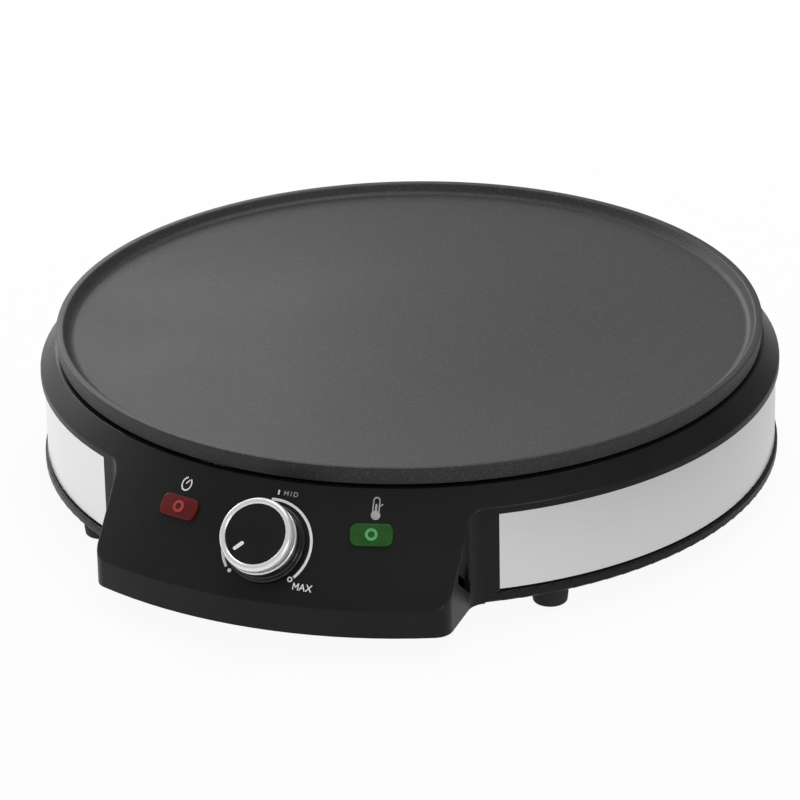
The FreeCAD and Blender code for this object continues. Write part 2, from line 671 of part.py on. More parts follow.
def housing():
    outer = union([body_outer(), panel_outer()])
    cone_rim = [e for e in outer.Edges if on_cone(e) and edge_reach(e) > SHOULDER_R - SHOULDER_STEP / 2]
    outer = outer.makeFillet(CONE_EDGE_R, cone_rim)
    shell = outer.cut(cavity())
    bosses = [cylinder(HOUSING_BOSS_R, HOUSING_BOSS_H, V(p.x, p.y, TRAY_TOP_Z)).common(outer)
              for p in housing_boss_places()]
    pad_w = THERMOSTAT_W + 2 * PAD_MARGIN
    pad_l = THERMOSTAT_L + 2 * PAD_MARGIN
    pad = knob_place(box(-pad_w / 2, pad_w / 2, -pad_l / 2, pad_l / 2, -WALL_T - PAD_T, 0)).common(outer)
    shell = union([shell] + bosses + [pad])
    cuts = [cylinder(M3_R + THREAD_FIT, HOUSING_BOSS_BORE_H, V(p.x, p.y, TRAY_TOP_Z))
            for p in housing_boss_places()]
    cuts += side_slot() + [mirrored(c) for c in side_slot()]
    cuts.append(gland_hole(GLAND_FIT))
    deep = WALL_T + PAD_T
    cuts.append(knob_place(cylinder(THERMOSTAT_NECK_R + SCREW_FIT, 2 * deep, V(0, 0, -deep))))
    for x in thermostat_screw_xs():
        cuts.append(knob_place(cylinder(M3_R + SCREW_FIT, deep, V(x, 0, -deep))))
        cuts.append(knob_place(cylinder(M3_HEAD_R + SCREW_FIT, deep, V(x, 0, -screw_sink()))))
    for side in (-1, 1):
        window = rounded_plate(LENS_W + 2 * LENS_FIT, LENS_H + 2 * LENS_FIT, LENS_CORNER, 4 * WALL_T)
        window.translate(V(0, 0, -2 * WALL_T))
        cuts.append(on_panel(window, side * LENS_ANGLE, LENS_R_FROM_AXIS))
    return shell.cut(cuts)


def screw_sink():
    return M3_HEAD_H + SCREW_FIT


# Steel band: one strip, open between the two ends of the panel

def steel_band():
    sweep = 360.0 - 2 * (BAND_HALF_ANGLE + math.degrees(BAND_END_GAP / BAND_R))
    start = 180.0 - sweep / 2
    strip = revolve([(BAND_WALL_R, BAND_BOTTOM_Z), (BAND_R, BAND_BOTTOM_Z),
                     (BAND_R, BAND_TOP_Z - BAND_TOP_FIT),
                     (BAND_WALL_R, BAND_TOP_Z - BAND_TOP_FIT)], sweep, start)
    return strip.cut(gland_hole(GLAND_FIT))


# Bottom cover

def base_tray():
    reach = KNEE_R - WALL_T - TRAY_FIT
    half_w = PANEL_HALF_W - WALL_T - TRAY_FIT
    floor = cylinder(HOUSING_INNER_R - TRAY_FIT, TRAY_T, V(0, 0, FOOT_STAND))
    front = panel_prism(half_w, reach, PANEL_CORNER_R - WALL_T - TRAY_FIT, FOOT_STAND, TRAY_TOP_Z)
    posts = [cylinder(TRAY_POST_R, TRAY_POST_TOP_Z - FOOT_STAND, around(a, BOSS_CIRCLE_R, FOOT_STAND))
             for a in plate_angles()]
    sockets = [cylinder(FOOT_SOCKET_R, TRAY_T + FOOT_SOCKET_H, around(a, FOOT_CIRCLE_R, FOOT_STAND))
               for a in foot_angles()]
    saddle = box(-CORD_CLAMP_W / 2, CORD_CLAMP_W / 2, CORD_CLAMP_Y, CORD_CLAMP_Y + CORD_CLAMP_D,
                 FOOT_STAND, GLAND_Z)
    tray = union([floor, front] + posts + sockets + [saddle])
    cuts = [cord_run()]
    for a in plate_angles():
        base = around(a, BOSS_CIRCLE_R, FOOT_STAND)
        cuts.append(cylinder(TRAY_POST_BORE_R, TRAY_POST_TOP_Z - FOOT_STAND, base))
        cuts.append(cylinder(TRAY_COUNTERBORE_R, TRAY_COUNTERBORE_H, base))
    for a in foot_angles():
        foot_place = around(a, FOOT_CIRCLE_R, FOOT_STAND)
        cuts.append(cylinder(M3_R + THREAD_FIT, TRAY_T + FOOT_SOCKET_H, foot_place))
    for p in housing_boss_places():
        cuts.append(cylinder(M3_R + SCREW_FIT, TRAY_T, V(p.x, p.y, FOOT_STAND)))
    for x in clamp_bar_screw_xs():
        screw_foot = V(x, clamp_bar_mid_y(), GLAND_Z - CORD_CLAMP_D)
        cuts.append(cylinder(M3_R + THREAD_FIT, CORD_CLAMP_D, screw_foot))
    for row in (-1, 1):
        for i in range(AIR_SLOT_COUNT):
            x = (i - (AIR_SLOT_COUNT - 1) / 2) * AIR_SLOT_PITCH
            y = row * AIR_SLOT_L
            cuts.append(box(x - AIR_SLOT_W / 2, x + AIR_SLOT_W / 2, y - AIR_SLOT_L / 2, y + AIR_SLOT_L / 2,
                            FOOT_STAND, TRAY_TOP_Z))
    return tray.cut(cuts)


def clamp_bar_screw_xs():
    return (-CORD_CLAMP_SCREW_X, CORD_CLAMP_SCREW_X)


def clamp_bar_mid_y():
    return CORD_CLAMP_Y + CORD_CLAMP_D / 2


def cord_run():
    return cylinder(CORD_SADDLE_R, CORD_CLAMP_D, V(0, CORD_CLAMP_Y, GLAND_Z), V(0, 1, 0))


def tray_screws():
    length = TRAY_T + HOUSING_BOSS_BORE_H - SCREW_TIP_GAP
    return Part.Compound([screw(V(p.x, p.y, FOOT_STAND), M3_R, M3_HEAD_R, M3_HEAD_H, length)
                          for p in housing_boss_places()])


# Feet

def foot_angles():
    return [FOOT_ANGLE, 180.0 - FOOT_ANGLE, 180.0 + FOOT_ANGLE, 360.0 - FOOT_ANGLE]


def foot(angle):
    base = around(angle, FOOT_CIRCLE_R)
    pad = cylinder(FOOT_R, FOOT_STAND, base)
    rim = [e for e in pad.Edges if e.BoundBox.ZMax < 1e-6]
    pad = pad.makeFillet(FOOT_EDGE, rim)
    bore = cylinder(M3_R + SCREW_FIT, FOOT_STAND, base)
    sink = cylinder(M3_HEAD_R + SCREW_FIT, FOOT_SCREW_SINK, base)
    return pad.cut([bore, sink])


def foot_screws():
    length = FOOT_STAND - FOOT_SCREW_SINK + TRAY_T + FOOT_SOCKET_H - SCREW_TIP_GAP
    return Part.Compound([screw(around(a, FOOT_CIRCLE_R, FOOT_SCREW_SINK),
                                M3_R, M3_HEAD_R, M3_HEAD_H, length)
                          for a in foot_angles()])


# Knob, laid out with its turning axis along +Z and the panel at zero

def turned(points):
    wire = Part.makePolygon([V(r, 0, z) for r, z in points] + [V(points[0][0], 0, points[0][1])])
    return Part.Face(wire).revolve(V(0, 0, 0), UP, 360)


def knob_top():
    return KNOB_GAP + KNOB_H


def knob_step():
    return knob_top() - KNOB_RING_H


def d_shaft(r, flat, z0, z1):
    return cylinder(r, z1 - z0, V(0, 0, z0)).cut(box(-r, r, flat, 2 * r, z0, z1))


def knob_body():
    low = KNOB_GAP
    ridge = knob_step() - KNOB_RIDGE_DROP - KNOB_RIDGE_H
    core_top = knob_top() - KNOB_FACE_SINK - KNOB_FACE_T
    body = turned([(0, low), (KNOB_BASE_R, low),
                   (KNOB_BASE_R, low + KNOB_BASE_H), (KNOB_WAIST_R, low + KNOB_BASE_H),
                   (KNOB_WAIST_R, ridge), (KNOB_RIDGE_R, ridge),
                   (KNOB_RIDGE_R, ridge + KNOB_RIDGE_H), (KNOB_WAIST_R, ridge + KNOB_RIDGE_H),
                   (KNOB_WAIST_R, knob_step()), (KNOB_FACE_R, knob_step()),
                   (KNOB_FACE_R, core_top), (0, core_top)])
    bore = d_shaft(SPINDLE_R + SPINDLE_FIT, SPINDLE_FLAT + SPINDLE_FIT, low, low + SPINDLE_IN_KNOB)
    return knob_place(body.cut(bore))


def knob_ring():
    inner = KNOB_FACE_R + KNOB_FIT
    ring = turned([(inner, knob_step()), (KNOB_RING_R, knob_step()),
                   (KNOB_RING_R, knob_top() - KNOB_CHAMFER),
                   (KNOB_RING_R - KNOB_CHAMFER, knob_top()), (inner, knob_top())])
    return knob_place(ring)


def knob_face():
    face_foot = knob_top() - KNOB_FACE_SINK - KNOB_FACE_T
    return knob_place(cylinder(KNOB_FACE_R, KNOB_FACE_T, V(0, 0, face_foot)))


# Thermostat, on the inside of the panel in line with the knob

def tab_tip_depth():
    """Depth of the ends of the thermostat's tabs, along the panel's normal."""
    return thermostat_seat() - THERMOSTAT_H - THERMOSTAT_TAB_L


def thermostat_seat():
    return -WALL_T - PAD_T


def thermostat_spindle():
    foot_z = thermostat_seat() - SPINDLE_IN_BODY
    shaft = cylinder(SPINDLE_R, KNOB_GAP - foot_z, V(0, 0, foot_z))
    tip = d_shaft(SPINDLE_R, SPINDLE_FLAT, KNOB_GAP, KNOB_GAP + SPINDLE_IN_KNOB - SPINDLE_END_GAP)
    return knob_place(shaft.fuse(tip).removeSplitter())


def thermostat():
    seat = thermostat_seat()
    body = box(-THERMOSTAT_W / 2, THERMOSTAT_W / 2, -THERMOSTAT_L / 2, THERMOSTAT_L / 2,
               seat - THERMOSTAT_H, seat)
    neck = cylinder(THERMOSTAT_NECK_R, -seat - SPINDLE_END_GAP, V(0, 0, seat))
    tabs = []
    for side in (-1, 1):
        x = side * THERMOSTAT_TAB_SPAN / 2
        tabs.append(box(x - THERMOSTAT_TAB_W / 2, x + THERMOSTAT_TAB_W / 2,
                        -THERMOSTAT_TAB_T / 2, THERMOSTAT_TAB_T / 2,
                        seat - THERMOSTAT_H - THERMOSTAT_TAB_L, seat - THERMOSTAT_H))
    bore_foot = seat - SPINDLE_IN_BODY - SPINDLE_END_GAP
    cuts = [cylinder(SPINDLE_R + SPINDLE_FIT, -bore_foot, V(0, 0, bore_foot))]
    cuts += [cylinder(M3_R + THREAD_FIT, THERMOSTAT_SCREW_GRIP + SCREW_TIP_GAP,
                      V(x, 0, seat - THERMOSTAT_SCREW_GRIP - SCREW_TIP_GAP)) for x in thermostat_screw_xs()]
    return knob_place(union([body, neck] + tabs).cut(cuts))


def thermostat_screws():
    length = THERMOSTAT_SCREW_GRIP - thermostat_seat() - screw_sink()
    inward = V(0, 0, -1)
    screws = [screw(V(x, 0, -screw_sink()), M3_R, M3_HEAD_R, M3_HEAD_H, length, inward)
              for x in thermostat_screw_xs()]
    return knob_place(Part.Compound(screws))


def panel_point(x, uphill, lift):
    """A point given in the knob's own axes, in the part's axes."""
    return V(x, -KNOB_R_FROM_AXIS, cone_z(KNOB_R_FROM_AXIS)) + PANEL_UPHILL * uphill + PANEL_NORMAL * lift


def capillary_start():
    return panel_point(0, THERMOSTAT_L / 2, thermostat_seat() - THERMOSTAT_H / 2)


def bulb_z():
    return PLATE_UNDER_Z - BULB_R


def capillary():
    start = capillary_start()
    crest = start + PANEL_UPHILL * CAPILLARY_RISE
    points = [start, crest, V(CAPILLARY_X / 3, -(SHIELD_R + CAPILLARY_BEND), CAPILLARY_Z),
              V(CAPILLARY_X, BULB_Y, CAPILLARY_Z), V(CAPILLARY_X, BULB_Y, bulb_z()),
              V(BULB_L / 2, BULB_Y, bulb_z())]
    return round_tube(points, CAPILLARY_BEND, CAPILLARY_R)


def sensor_bulb():
    return cylinder(BULB_R, BULB_L, V(-BULB_L / 2, BULB_Y, bulb_z()), V(1, 0, 0))


def strap_clip(rod_r, thickness, width, tab, seat_z, middle):
    """A sheet clip that hugs a rod lying under a flat seat, with a tab for its screw on the +Y side.

    The rod lies along X, touches the seat and its axis passes over the point middle.
    """
    x0 = middle.x - width / 2
    outer_r = rod_r + thickness
    axis = V(1, 0, 0)
    centre = V(x0, middle.y, seat_z - rod_r)
    sleeve = cylinder(outer_r, width, centre, axis)
    cheeks = box(x0, x0 + width, middle.y - outer_r, middle.y + outer_r, seat_z - rod_r, seat_z)
    foot = box(x0, x0 + width, middle.y + rod_r, middle.y + outer_r + tab, seat_z - thickness, seat_z)
    inside = box(x0, x0 + width, middle.y - rod_r, middle.y + rod_r, seat_z - rod_r, seat_z)
    above = box(x0, x0 + width, middle.y - 2 * outer_r, middle.y + 2 * outer_r,
                seat_z, seat_z + 2 * outer_r)
    clip = union([sleeve, cheeks, foot]).cut([cylinder(rod_r, width, centre, axis), inside, above])
    hole_y = middle.y + outer_r + tab / 2
    return clip.cut(cylinder(M3_R + SCREW_FIT, thickness, V(middle.x, hole_y, seat_z - thickness)))


def bulb_clip_screw_place():
    return V(0, BULB_Y + BULB_R + BULB_CLIP_T + BULB_CLIP_TAB / 2, 0)


def bulb_clip():
    return strap_clip(BULB_R, BULB_CLIP_T, BULB_CLIP_W, BULB_CLIP_TAB, PLATE_UNDER_Z, V(0, BULB_Y, 0))


def bulb_clip_screw():
    place = bulb_clip_screw_place()
    length = BULB_CLIP_T + PLATE_T - BULB_SCREW_COVER - SCREW_TIP_GAP
    return screw(V(place.x, place.y, PLATE_UNDER_Z - BULB_CLIP_T), M3_R, M3_HEAD_R, M3_HEAD_H, length)


# Safety cut-out under the heat shield

def fuse_screw_place():
    return V(FUSE_X, FUSE_R + FUSE_CLIP_T + FUSE_CLIP_TAB / 2, 0)


def thermal_fuse():
    return cylinder(FUSE_R, FUSE_L, V(FUSE_X - FUSE_L / 2, 0, shield_z() - FUSE_R), V(1, 0, 0))


def fuse_clip():
    return strap_clip(FUSE_R, FUSE_CLIP_T, FUSE_CLIP_W, FUSE_CLIP_TAB, shield_z(), V(FUSE_X, 0, 0))


def shield_screws():
    """The screws of the cut-out's clip and of the earth tag."""
    fuse = fuse_screw_place()
    low = [V(fuse.x, fuse.y, shield_z() - FUSE_CLIP_T), V(EARTH_X, EARTH_Y, shield_z() - EARTH_TAG_T)]
    return Part.Compound([screw(p, M3_R, M3_HEAD_R, M3_HEAD_H, SHIELD_SCREW_L) for p in low])


def earth_tag():
    z = shield_z() - EARTH_TAG_T
    disc = cylinder(EARTH_TAG_R, EARTH_TAG_T, V(EARTH_X, EARTH_Y, z))
    tail = box(EARTH_X - WIRE_R, EARTH_X + WIRE_R, EARTH_Y, EARTH_Y + EARTH_TAG_L, z, z + EARTH_TAG_T)
    return union([disc, tail]).cut(cylinder(M3_R + SCREW_FIT, EARTH_TAG_T, V(EARTH_X, EARTH_Y, z)))


# Indicator lamps: a lens through the panel, a neon lamp in its stem, and a socket that grips the stem

def lens_place(shape, side):
    return on_panel(shape, side * LENS_ANGLE, LENS_R_FROM_AXIS)


def lens_flange_top():
    return -WALL_T - LENS_FLANGE_GAP


def stem_end():
    return lens_flange_top() - LENS_FLANGE_T - LENS_STEM_L


def lens(side):
    head = rounded_plate(LENS_W, LENS_H, LENS_CORNER, LENS_PROUD - lens_flange_top())
    top_rim = [e for e in head.Edges if abs(e.BoundBox.ZMin - head.BoundBox.ZMax) < 1e-6]
    head = head.makeFillet(LENS_PROUD / 2, top_rim)
    head.translate(V(0, 0, lens_flange_top()))
    flange = rounded_plate(LENS_W + 2 * LENS_FLANGE, LENS_H + 2 * LENS_FLANGE, LENS_CORNER, LENS_FLANGE_T)
    flange.translate(V(0, 0, lens_flange_top() - LENS_FLANGE_T))
    stem = cylinder(LENS_STEM_R, LENS_STEM_L, V(0, 0, stem_end()))
    bore = cylinder(LENS_STEM_R - LENS_STEM_WALL, -stem_end(), V(0, 0, stem_end()))
    return lens_place(union([head, flange, stem]).cut(bore), side)


def lamp_foot():
    return stem_end() - HOLDER_BASE


def lamp(side):
    top = lamp_foot() + LAMP_L
    tube = cylinder(LAMP_R, LAMP_L - LAMP_R, V(0, 0, lamp_foot()))
    dome = Part.makeSphere(LAMP_R, V(0, 0, top - LAMP_R))
    return lens_place(union([tube, dome]), side)


def lamp_holder(side):
    foot = lamp_foot() - HOLDER_BASE
    socket = cylinder(HOLDER_R, HOLDER_L, V(0, 0, foot))
    stem_hole = cylinder(LENS_STEM_R + LENS_FIT, HOLDER_L, V(0, 0, stem_end()))
    lamp_hole = cylinder(LAMP_R + LENS_FIT, HOLDER_L, V(0, 0, lamp_foot()))
    return lens_place(socket.cut([stem_hole, lamp_hole]), side)


def lamp_wires():
    """Two leads from each lamp's socket to the thermostat's sides."""
    wires = []
    for side in (-1, 1):
        for step in (-1, 1):
            start = lens_point(side, step * LAMP_WIRE_SPREAD, 0, lamp_foot() - HOLDER_BASE)
            inward = lens_point(side, step * LAMP_WIRE_SPREAD, 0,
                                lamp_foot() - HOLDER_BASE - LAMP_WIRE_DROP)
            end = panel_point(side * THERMOSTAT_W / 2, step * LAMP_WIRE_SPREAD - THERMOSTAT_L / 4,
                              thermostat_seat() - THERMOSTAT_H / 2 - LAMP_WIRE_SINK)
            before_end = end + V(side * LAMP_WIRE_DROP, 0, 0)
            wires.append(round_tube([start, inward, before_end, end], LAMP_WIRE_BEND, LAMP_WIRE_R))
    return Part.Compound(wires)


def lens_point(side, x, uphill, lift):
    local = V(x, -LENS_R_FROM_AXIS, cone_z(LENS_R_FROM_AXIS)) + PANEL_UPHILL * uphill + PANEL_NORMAL * lift
    return FreeCAD.Rotation(UP, side * LENS_ANGLE).multVec(local)


# Terminal block and internal wires

def block_xs():
    pitch = BLOCK_W / BLOCK_WAYS
    return [(i - (BLOCK_WAYS - 1) / 2) * pitch for i in range(BLOCK_WAYS)]


def block_way_z():
    return TRAY_TOP_Z + BLOCK_H / 2


def block_screw_ys():
    return (BLOCK_Y - BLOCK_D / 4, BLOCK_Y + BLOCK_D / 4)


def terminal_block():
    block = box(-BLOCK_W / 2, BLOCK_W / 2, BLOCK_Y - BLOCK_D / 2, BLOCK_Y + BLOCK_D / 2,
                TRAY_TOP_Z, TRAY_TOP_Z + BLOCK_H)
    cuts = []
    for x in block_xs():
        cuts.append(cylinder(BLOCK_WAY_R, BLOCK_D, V(x, BLOCK_Y - BLOCK_D / 2, block_way_z()), V(0, 1, 0)))
        for y in block_screw_ys():
            cuts.append(cylinder(BLOCK_SCREW_R + THREAD_FIT, BLOCK_H / 2, V(x, y, block_way_z())))
    return block.cut(cuts)


def terminal_screws():
    foot_z = block_way_z() + WIRE_R
    screws = []
    for x in block_xs():
        for y in block_screw_ys():
            shank = cylinder(BLOCK_SCREW_R, BLOCK_SCREW_H, V(x, y, foot_z))
            slot = box(x - BLOCK_SCREW_R, x + BLOCK_SCREW_R, y - BLOCK_SLOT_W / 2, y + BLOCK_SLOT_W / 2,
                       foot_z + BLOCK_SCREW_H - BLOCK_SLOT_W, foot_z + BLOCK_SCREW_H)
            screws.append(shank.cut(slot))
    return Part.Compound(screws)


def tab_tip(side):
    return panel_point(side * THERMOSTAT_TAB_SPAN / 2, 0, tab_tip_depth())


def tab_below(side):
    return panel_point(side * THERMOSTAT_TAB_SPAN / 2, 0, tab_tip_depth() - WIRE_DROP)


def block_end(way):
    return V(block_xs()[way], BLOCK_Y - BLOCK_D / 4 + BLOCK_SCREW_R, block_way_z())


def pin_end(i):
    p = element_ends()[i]
    return V(p.x, p.y, element_axis_z() - ELEMENT_LEG_L - SEAL_H - ELEMENT_PIN_L)


def wire_live():
    """From the block's right way round the right side to the thermostat."""
    start = block_end(2)
    level = tab_below(1).z
    points = [start, V(start.x, WIRE_BLOCK_Y, start.z), V(WIRE_SIDE_X, WIRE_SIDE_Y, level),
              V(WIRE_SIDE_X, -WIRE_SIDE_Y, level), tab_below(1), tab_tip(1)]
    return round_tube(points, WIRE_BEND, WIRE_R)


def wire_heater():
    """From the thermostat to the element's left end."""
    pin = pin_end(0)
    low = tab_below(-1)
    points = [tab_tip(-1), low, V(pin.x, pin.y, low.z), pin]
    return round_tube(points, WIRE_BEND, WIRE_R)


def wire_cutout():
    """From the element's right end to the cut-out under the heat shield."""
    pin = pin_end(1)
    end = V(FUSE_X + FUSE_L / 2, 0, shield_z() - FUSE_R)
    level = tab_below(1).z
    points = [pin, V(pin.x, pin.y, level), V(end.x + WIRE_DROP, -WIRE_SIDE_Y / 2, level),
              V(end.x + WIRE_DROP, 0, end.z), end]
    return round_tube(points, WIRE_BEND, WIRE_R)


def wire_neutral():
    """From the cut-out to the block's middle way."""
    start = V(FUSE_X - FUSE_L / 2, 0, shield_z() - FUSE_R)
    end = block_end(1)
    points = [start, V(start.x - 2 * WIRE_DROP, 0, start.z), V(end.x, WIRE_SIDE_Y, end.z), end]
    return round_tube(points, WIRE_BEND, WIRE_R)


def wire_earth():
    """From the block's left way up to the earth tag on the heat shield."""
    start = block_end(0)
    tag = V(EARTH_X, EARTH_Y + EARTH_TAG_L - WIRE_R, shield_z() - EARTH_TAG_T)
    points = [start, V(start.x, WIRE_BLOCK_Y, start.z), V(tag.x, tag.y, start.z), tag]
    return round_tube(points, WIRE_BEND, WIRE_R)


# Cord gland and cord clamp

def cord_gland():
    axis = V(0, 1, 0)
    wall = BAND_R - HOUSING_INNER_R
    inner_face = math.sqrt(HOUSING_INNER_R ** 2 - (GLAND_R + GLAND_LIP) ** 2) - GLAND_CLIP_GAP
    start = inner_face - GLAND_LIP_T
    head = cylinder(GLAND_HEAD_R, GLAND_HEAD_T, V(0, BAND_R, GLAND_Z), axis)
    neck = cylinder(GLAND_R, BAND_R - start, V(0, start, GLAND_Z), axis)
    lip = cylinder(GLAND_R + GLAND_LIP, GLAND_LIP_T, V(0, start, GLAND_Z), axis)
    bore = cylinder(GLAND_BORE_R, 2 * wall + 2 * GLAND_LIP_T + GLAND_HEAD_T, V(0, start, GLAND_Z), axis)
    rim = [e for e in head.Edges if abs(e.BoundBox.YMin - (BAND_R + GLAND_HEAD_T)) < 1e-6]
    head = head.makeFillet(GLAND_HEAD_T / 2, rim)
    return union([head, neck, lip]).cut(bore)


def cord_clamp():
    half = CORD_CLAMP_W / 2
    bar = box(-half, half, CORD_CLAMP_Y, CORD_CLAMP_Y + CORD_CLAMP_D, GLAND_Z, GLAND_Z + CORD_CLAMP_T)
    hump = cylinder(CORD_SADDLE_R + CORD_HUMP_T, CORD_CLAMP_D, V(0, CORD_CLAMP_Y, GLAND_Z), V(0, 1, 0))
    below = box(-half, half, CORD_CLAMP_Y, CORD_CLAMP_Y + CORD_CLAMP_D,
                GLAND_Z - 2 * CORD_SADDLE_R, GLAND_Z)
    holes = [cylinder(M3_R + SCREW_FIT, CORD_CLAMP_T, V(x, clamp_bar_mid_y(), GLAND_Z))
             for x in clamp_bar_screw_xs()]
    return union([bar, hump]).cut([below, cord_run()] + holes)


def cord_clamp_screws():
    length = CORD_CLAMP_T + CORD_CLAMP_D - SCREW_TIP_GAP
    top = GLAND_Z + CORD_CLAMP_T
    down = V(0, 0, -1)
    return Part.Compound([screw(V(x, clamp_bar_mid_y(), top), M3_R, M3_HEAD_R, M3_HEAD_H, length, down)
                          for x in clamp_bar_screw_xs()])


def all_parts():
    made = {
        "baking_plate": baking_plate(),
        "heating_element": heating_element(),
        "element_seals": element_seals(),
        "element_tabs": element_tabs(),
        "clamp_screws": clamp_screws(),
        "heat_shield": heat_shield(),
        "plate_screws": plate_screws(),
        "housing": housing(),
        "steel_band": steel_band(),
        "base_tray": base_tray(),
        "tray_screws": tray_screws(),
        "foot_screws": foot_screws(),
        "knob_body": knob_body(),
        "knob_ring": knob_ring(),
        "knob_face": knob_face(),
        "thermostat": thermostat(),
        "thermostat_spindle": thermostat_spindle(),
        "thermostat_screws": thermostat_screws(),
        "capillary": capillary(),
        "sensor_bulb": sensor_bulb(),
        "bulb_clip": bulb_clip(),
        "bulb_clip_screw": bulb_clip_screw(),
        "thermal_fuse": thermal_fuse(),
        "fuse_clip": fuse_clip(),
        "shield_screws": shield_screws(),
        "earth_tag": earth_tag(),
        "lamp_wires": lamp_wires(),
        "terminal_block": terminal_block(),
        "terminal_screws": terminal_screws(),
        "wire_live": wire_live(),
        "wire_heater": wire_heater(),
        "wire_cutout": wire_cutout(),
        "wire_neutral": wire_neutral(),
        "wire_earth": wire_earth(),
        "cord_gland": cord_gland(),
        "cord_clamp": cord_clamp(),
        "cord_clamp_screws": cord_clamp_screws(),
    }
    for number, angle in enumerate(plate_angles(), 1):
        made["plate_spacer_%d" % number] = plate_spacer(angle)
    for number, angle in enumerate(foot_angles(), 1):
        made["foot_%d" % number] = foot(angle)
    for number, angle in enumerate(CLAMP_ANGLES, 1):
        made["element_clamp_%d" % number] = element_clamp(angle)
    for name, side in (("red", -1), ("green", 1)):
        made[name + "_lens"] = lens(side)
        made[name + "_lamp"] = lamp(side)
        made[name + "_holder"] = lamp_holder(side)
    return made


os.makedirs("parts", exist_ok=True)
for node, shape in all_parts().items():
    placed = shape.copy()
    placed.translate(V(0, AXIS_Y, 0))
    placed.exportStep("parts/%s.step" % node)
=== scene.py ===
import math

import bmesh
import bpy
from mathutils import Matrix, Vector


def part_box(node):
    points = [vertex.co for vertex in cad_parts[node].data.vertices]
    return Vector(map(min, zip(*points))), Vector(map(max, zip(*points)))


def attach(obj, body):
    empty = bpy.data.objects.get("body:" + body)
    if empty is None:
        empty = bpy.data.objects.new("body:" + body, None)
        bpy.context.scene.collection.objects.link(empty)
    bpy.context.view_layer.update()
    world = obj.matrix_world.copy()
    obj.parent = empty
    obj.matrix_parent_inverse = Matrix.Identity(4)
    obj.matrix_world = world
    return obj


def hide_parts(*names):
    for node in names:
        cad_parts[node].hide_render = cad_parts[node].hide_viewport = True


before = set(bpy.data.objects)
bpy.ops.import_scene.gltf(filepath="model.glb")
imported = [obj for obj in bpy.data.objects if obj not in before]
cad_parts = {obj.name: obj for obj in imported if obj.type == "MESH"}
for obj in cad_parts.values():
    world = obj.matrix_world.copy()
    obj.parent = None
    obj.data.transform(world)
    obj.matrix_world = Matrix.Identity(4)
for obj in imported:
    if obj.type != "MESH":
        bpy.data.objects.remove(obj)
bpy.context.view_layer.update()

# Sizes are written in millimetres, and every mesh is in metres.
MM = 0.001
FULL_TURN = math.tau
plate_lo, plate_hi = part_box("baking_plate")
AXIS = Vector((0.0, (plate_lo.y + plate_hi.y) / 2, 0.0))
PLATE_R = (plate_hi.x - plate_lo.x) / 2 / MM
PLATE_TOP = plate_hi.z / MM

# Cone of the front panel: its radius and height at the plate's lip, and its fall per millimetre
LIP_R = 150.7
LIP_Z = 58.75
CONE_DROP = 1.144
NORMAL_R = 0.75290276
NORMAL_Z = 0.65813178
KNOB_R_FROM_AXIS = 168.0
LENS_R_FROM_AXIS = 163.3
LENS_ANGLE = 14.55


# Mesh making

MERGE_DIST = 1e-7
DEGENERATE_DIST = 1e-8
WHOLE_TURN_MARGIN = 1e-6
CORNER_SEGMENTS = 5
ARC_STEP_DEG = 4
PRINT_MESH_STEP = 2.5
PRINT_PASSES = 4


def turn_all(bm, angle, axis="Z"):
    """Turns a whole mesh about an axis through the origin."""
    bmesh.ops.rotate(bm, cent=(0, 0, 0), matrix=Matrix.Rotation(angle, 3, axis), verts=bm.verts)


def spin_all(bm, angle, steps):
    """Sweeps a mesh round Z, and joins its ends after a whole turn."""
    whole = abs(angle - FULL_TURN) < WHOLE_TURN_MARGIN
    bmesh.ops.spin(bm, geom=bm.verts[:] + bm.edges[:], cent=(0, 0, 0), axis=(0, 0, 1), dvec=(0, 0, 0),
                   angle=angle, steps=steps, use_merge=whole)


def soften(bm, geom, radius, segments, affect="VERTICES"):
    """Rounds corners or edges by a radius in millimetres."""
    bmesh.ops.bevel(bm, geom=geom, offset=radius * MM, offset_type="OFFSET", segments=segments,
                    profile=0.5, affect=affect, material=-1)


def ring_mesh(points, steps, turn=FULL_TURN, start=0.0):
    """Turned shape round Z. Each point is (radius, height, corner radius) in millimetres."""
    bm = bmesh.new()
    verts = [bm.verts.new((r * MM, 0.0, z * MM)) for r, z, _ in points]
    for a, b in zip(verts, verts[1:]):
        bm.edges.new((a, b))
    for vert, (_, _, corner) in zip(verts, points):
        if corner:
            soften(bm, [vert], corner, CORNER_SEGMENTS)
    turn_all(bm, start)
    spin_all(bm, turn, steps)
    close_up(bm)
    return bm


def close_up(bm):
    """Merges doubled points and turns all faces outwards."""
    bmesh.ops.remove_doubles(bm, verts=bm.verts, dist=MERGE_DIST)
    bmesh.ops.dissolve_degenerate(bm, dist=DEGENERATE_DIST, edges=bm.edges)
    bmesh.ops.recalc_face_normals(bm, faces=bm.faces)


def bar_mesh(length, width, height, round_end, segments=8):
    """Flat bar with rounded ends or corners, on the plane z = 0, of a given height."""
    bm = bmesh.new()
    bmesh.ops.create_grid(bm, x_segments=1, y_segments=1, size=0.5)
    bmesh.ops.scale(bm, vec=(length * MM, width * MM, 1), verts=bm.verts)
    soften(bm, bm.verts[:], round_end, segments)
    thicken(bm, height)
    return bm


def thicken(bm, height):
    """Turns flat faces on a plane into a solid of a given height above it."""
    made = bmesh.ops.extrude_face_region(bm, geom=bm.faces[:])
    top = [v for v in made["geom"] if isinstance(v, bmesh.types.BMVert)]
    bmesh.ops.translate(bm, vec=(0, 0, height * MM), verts=top)
    close_up(bm)


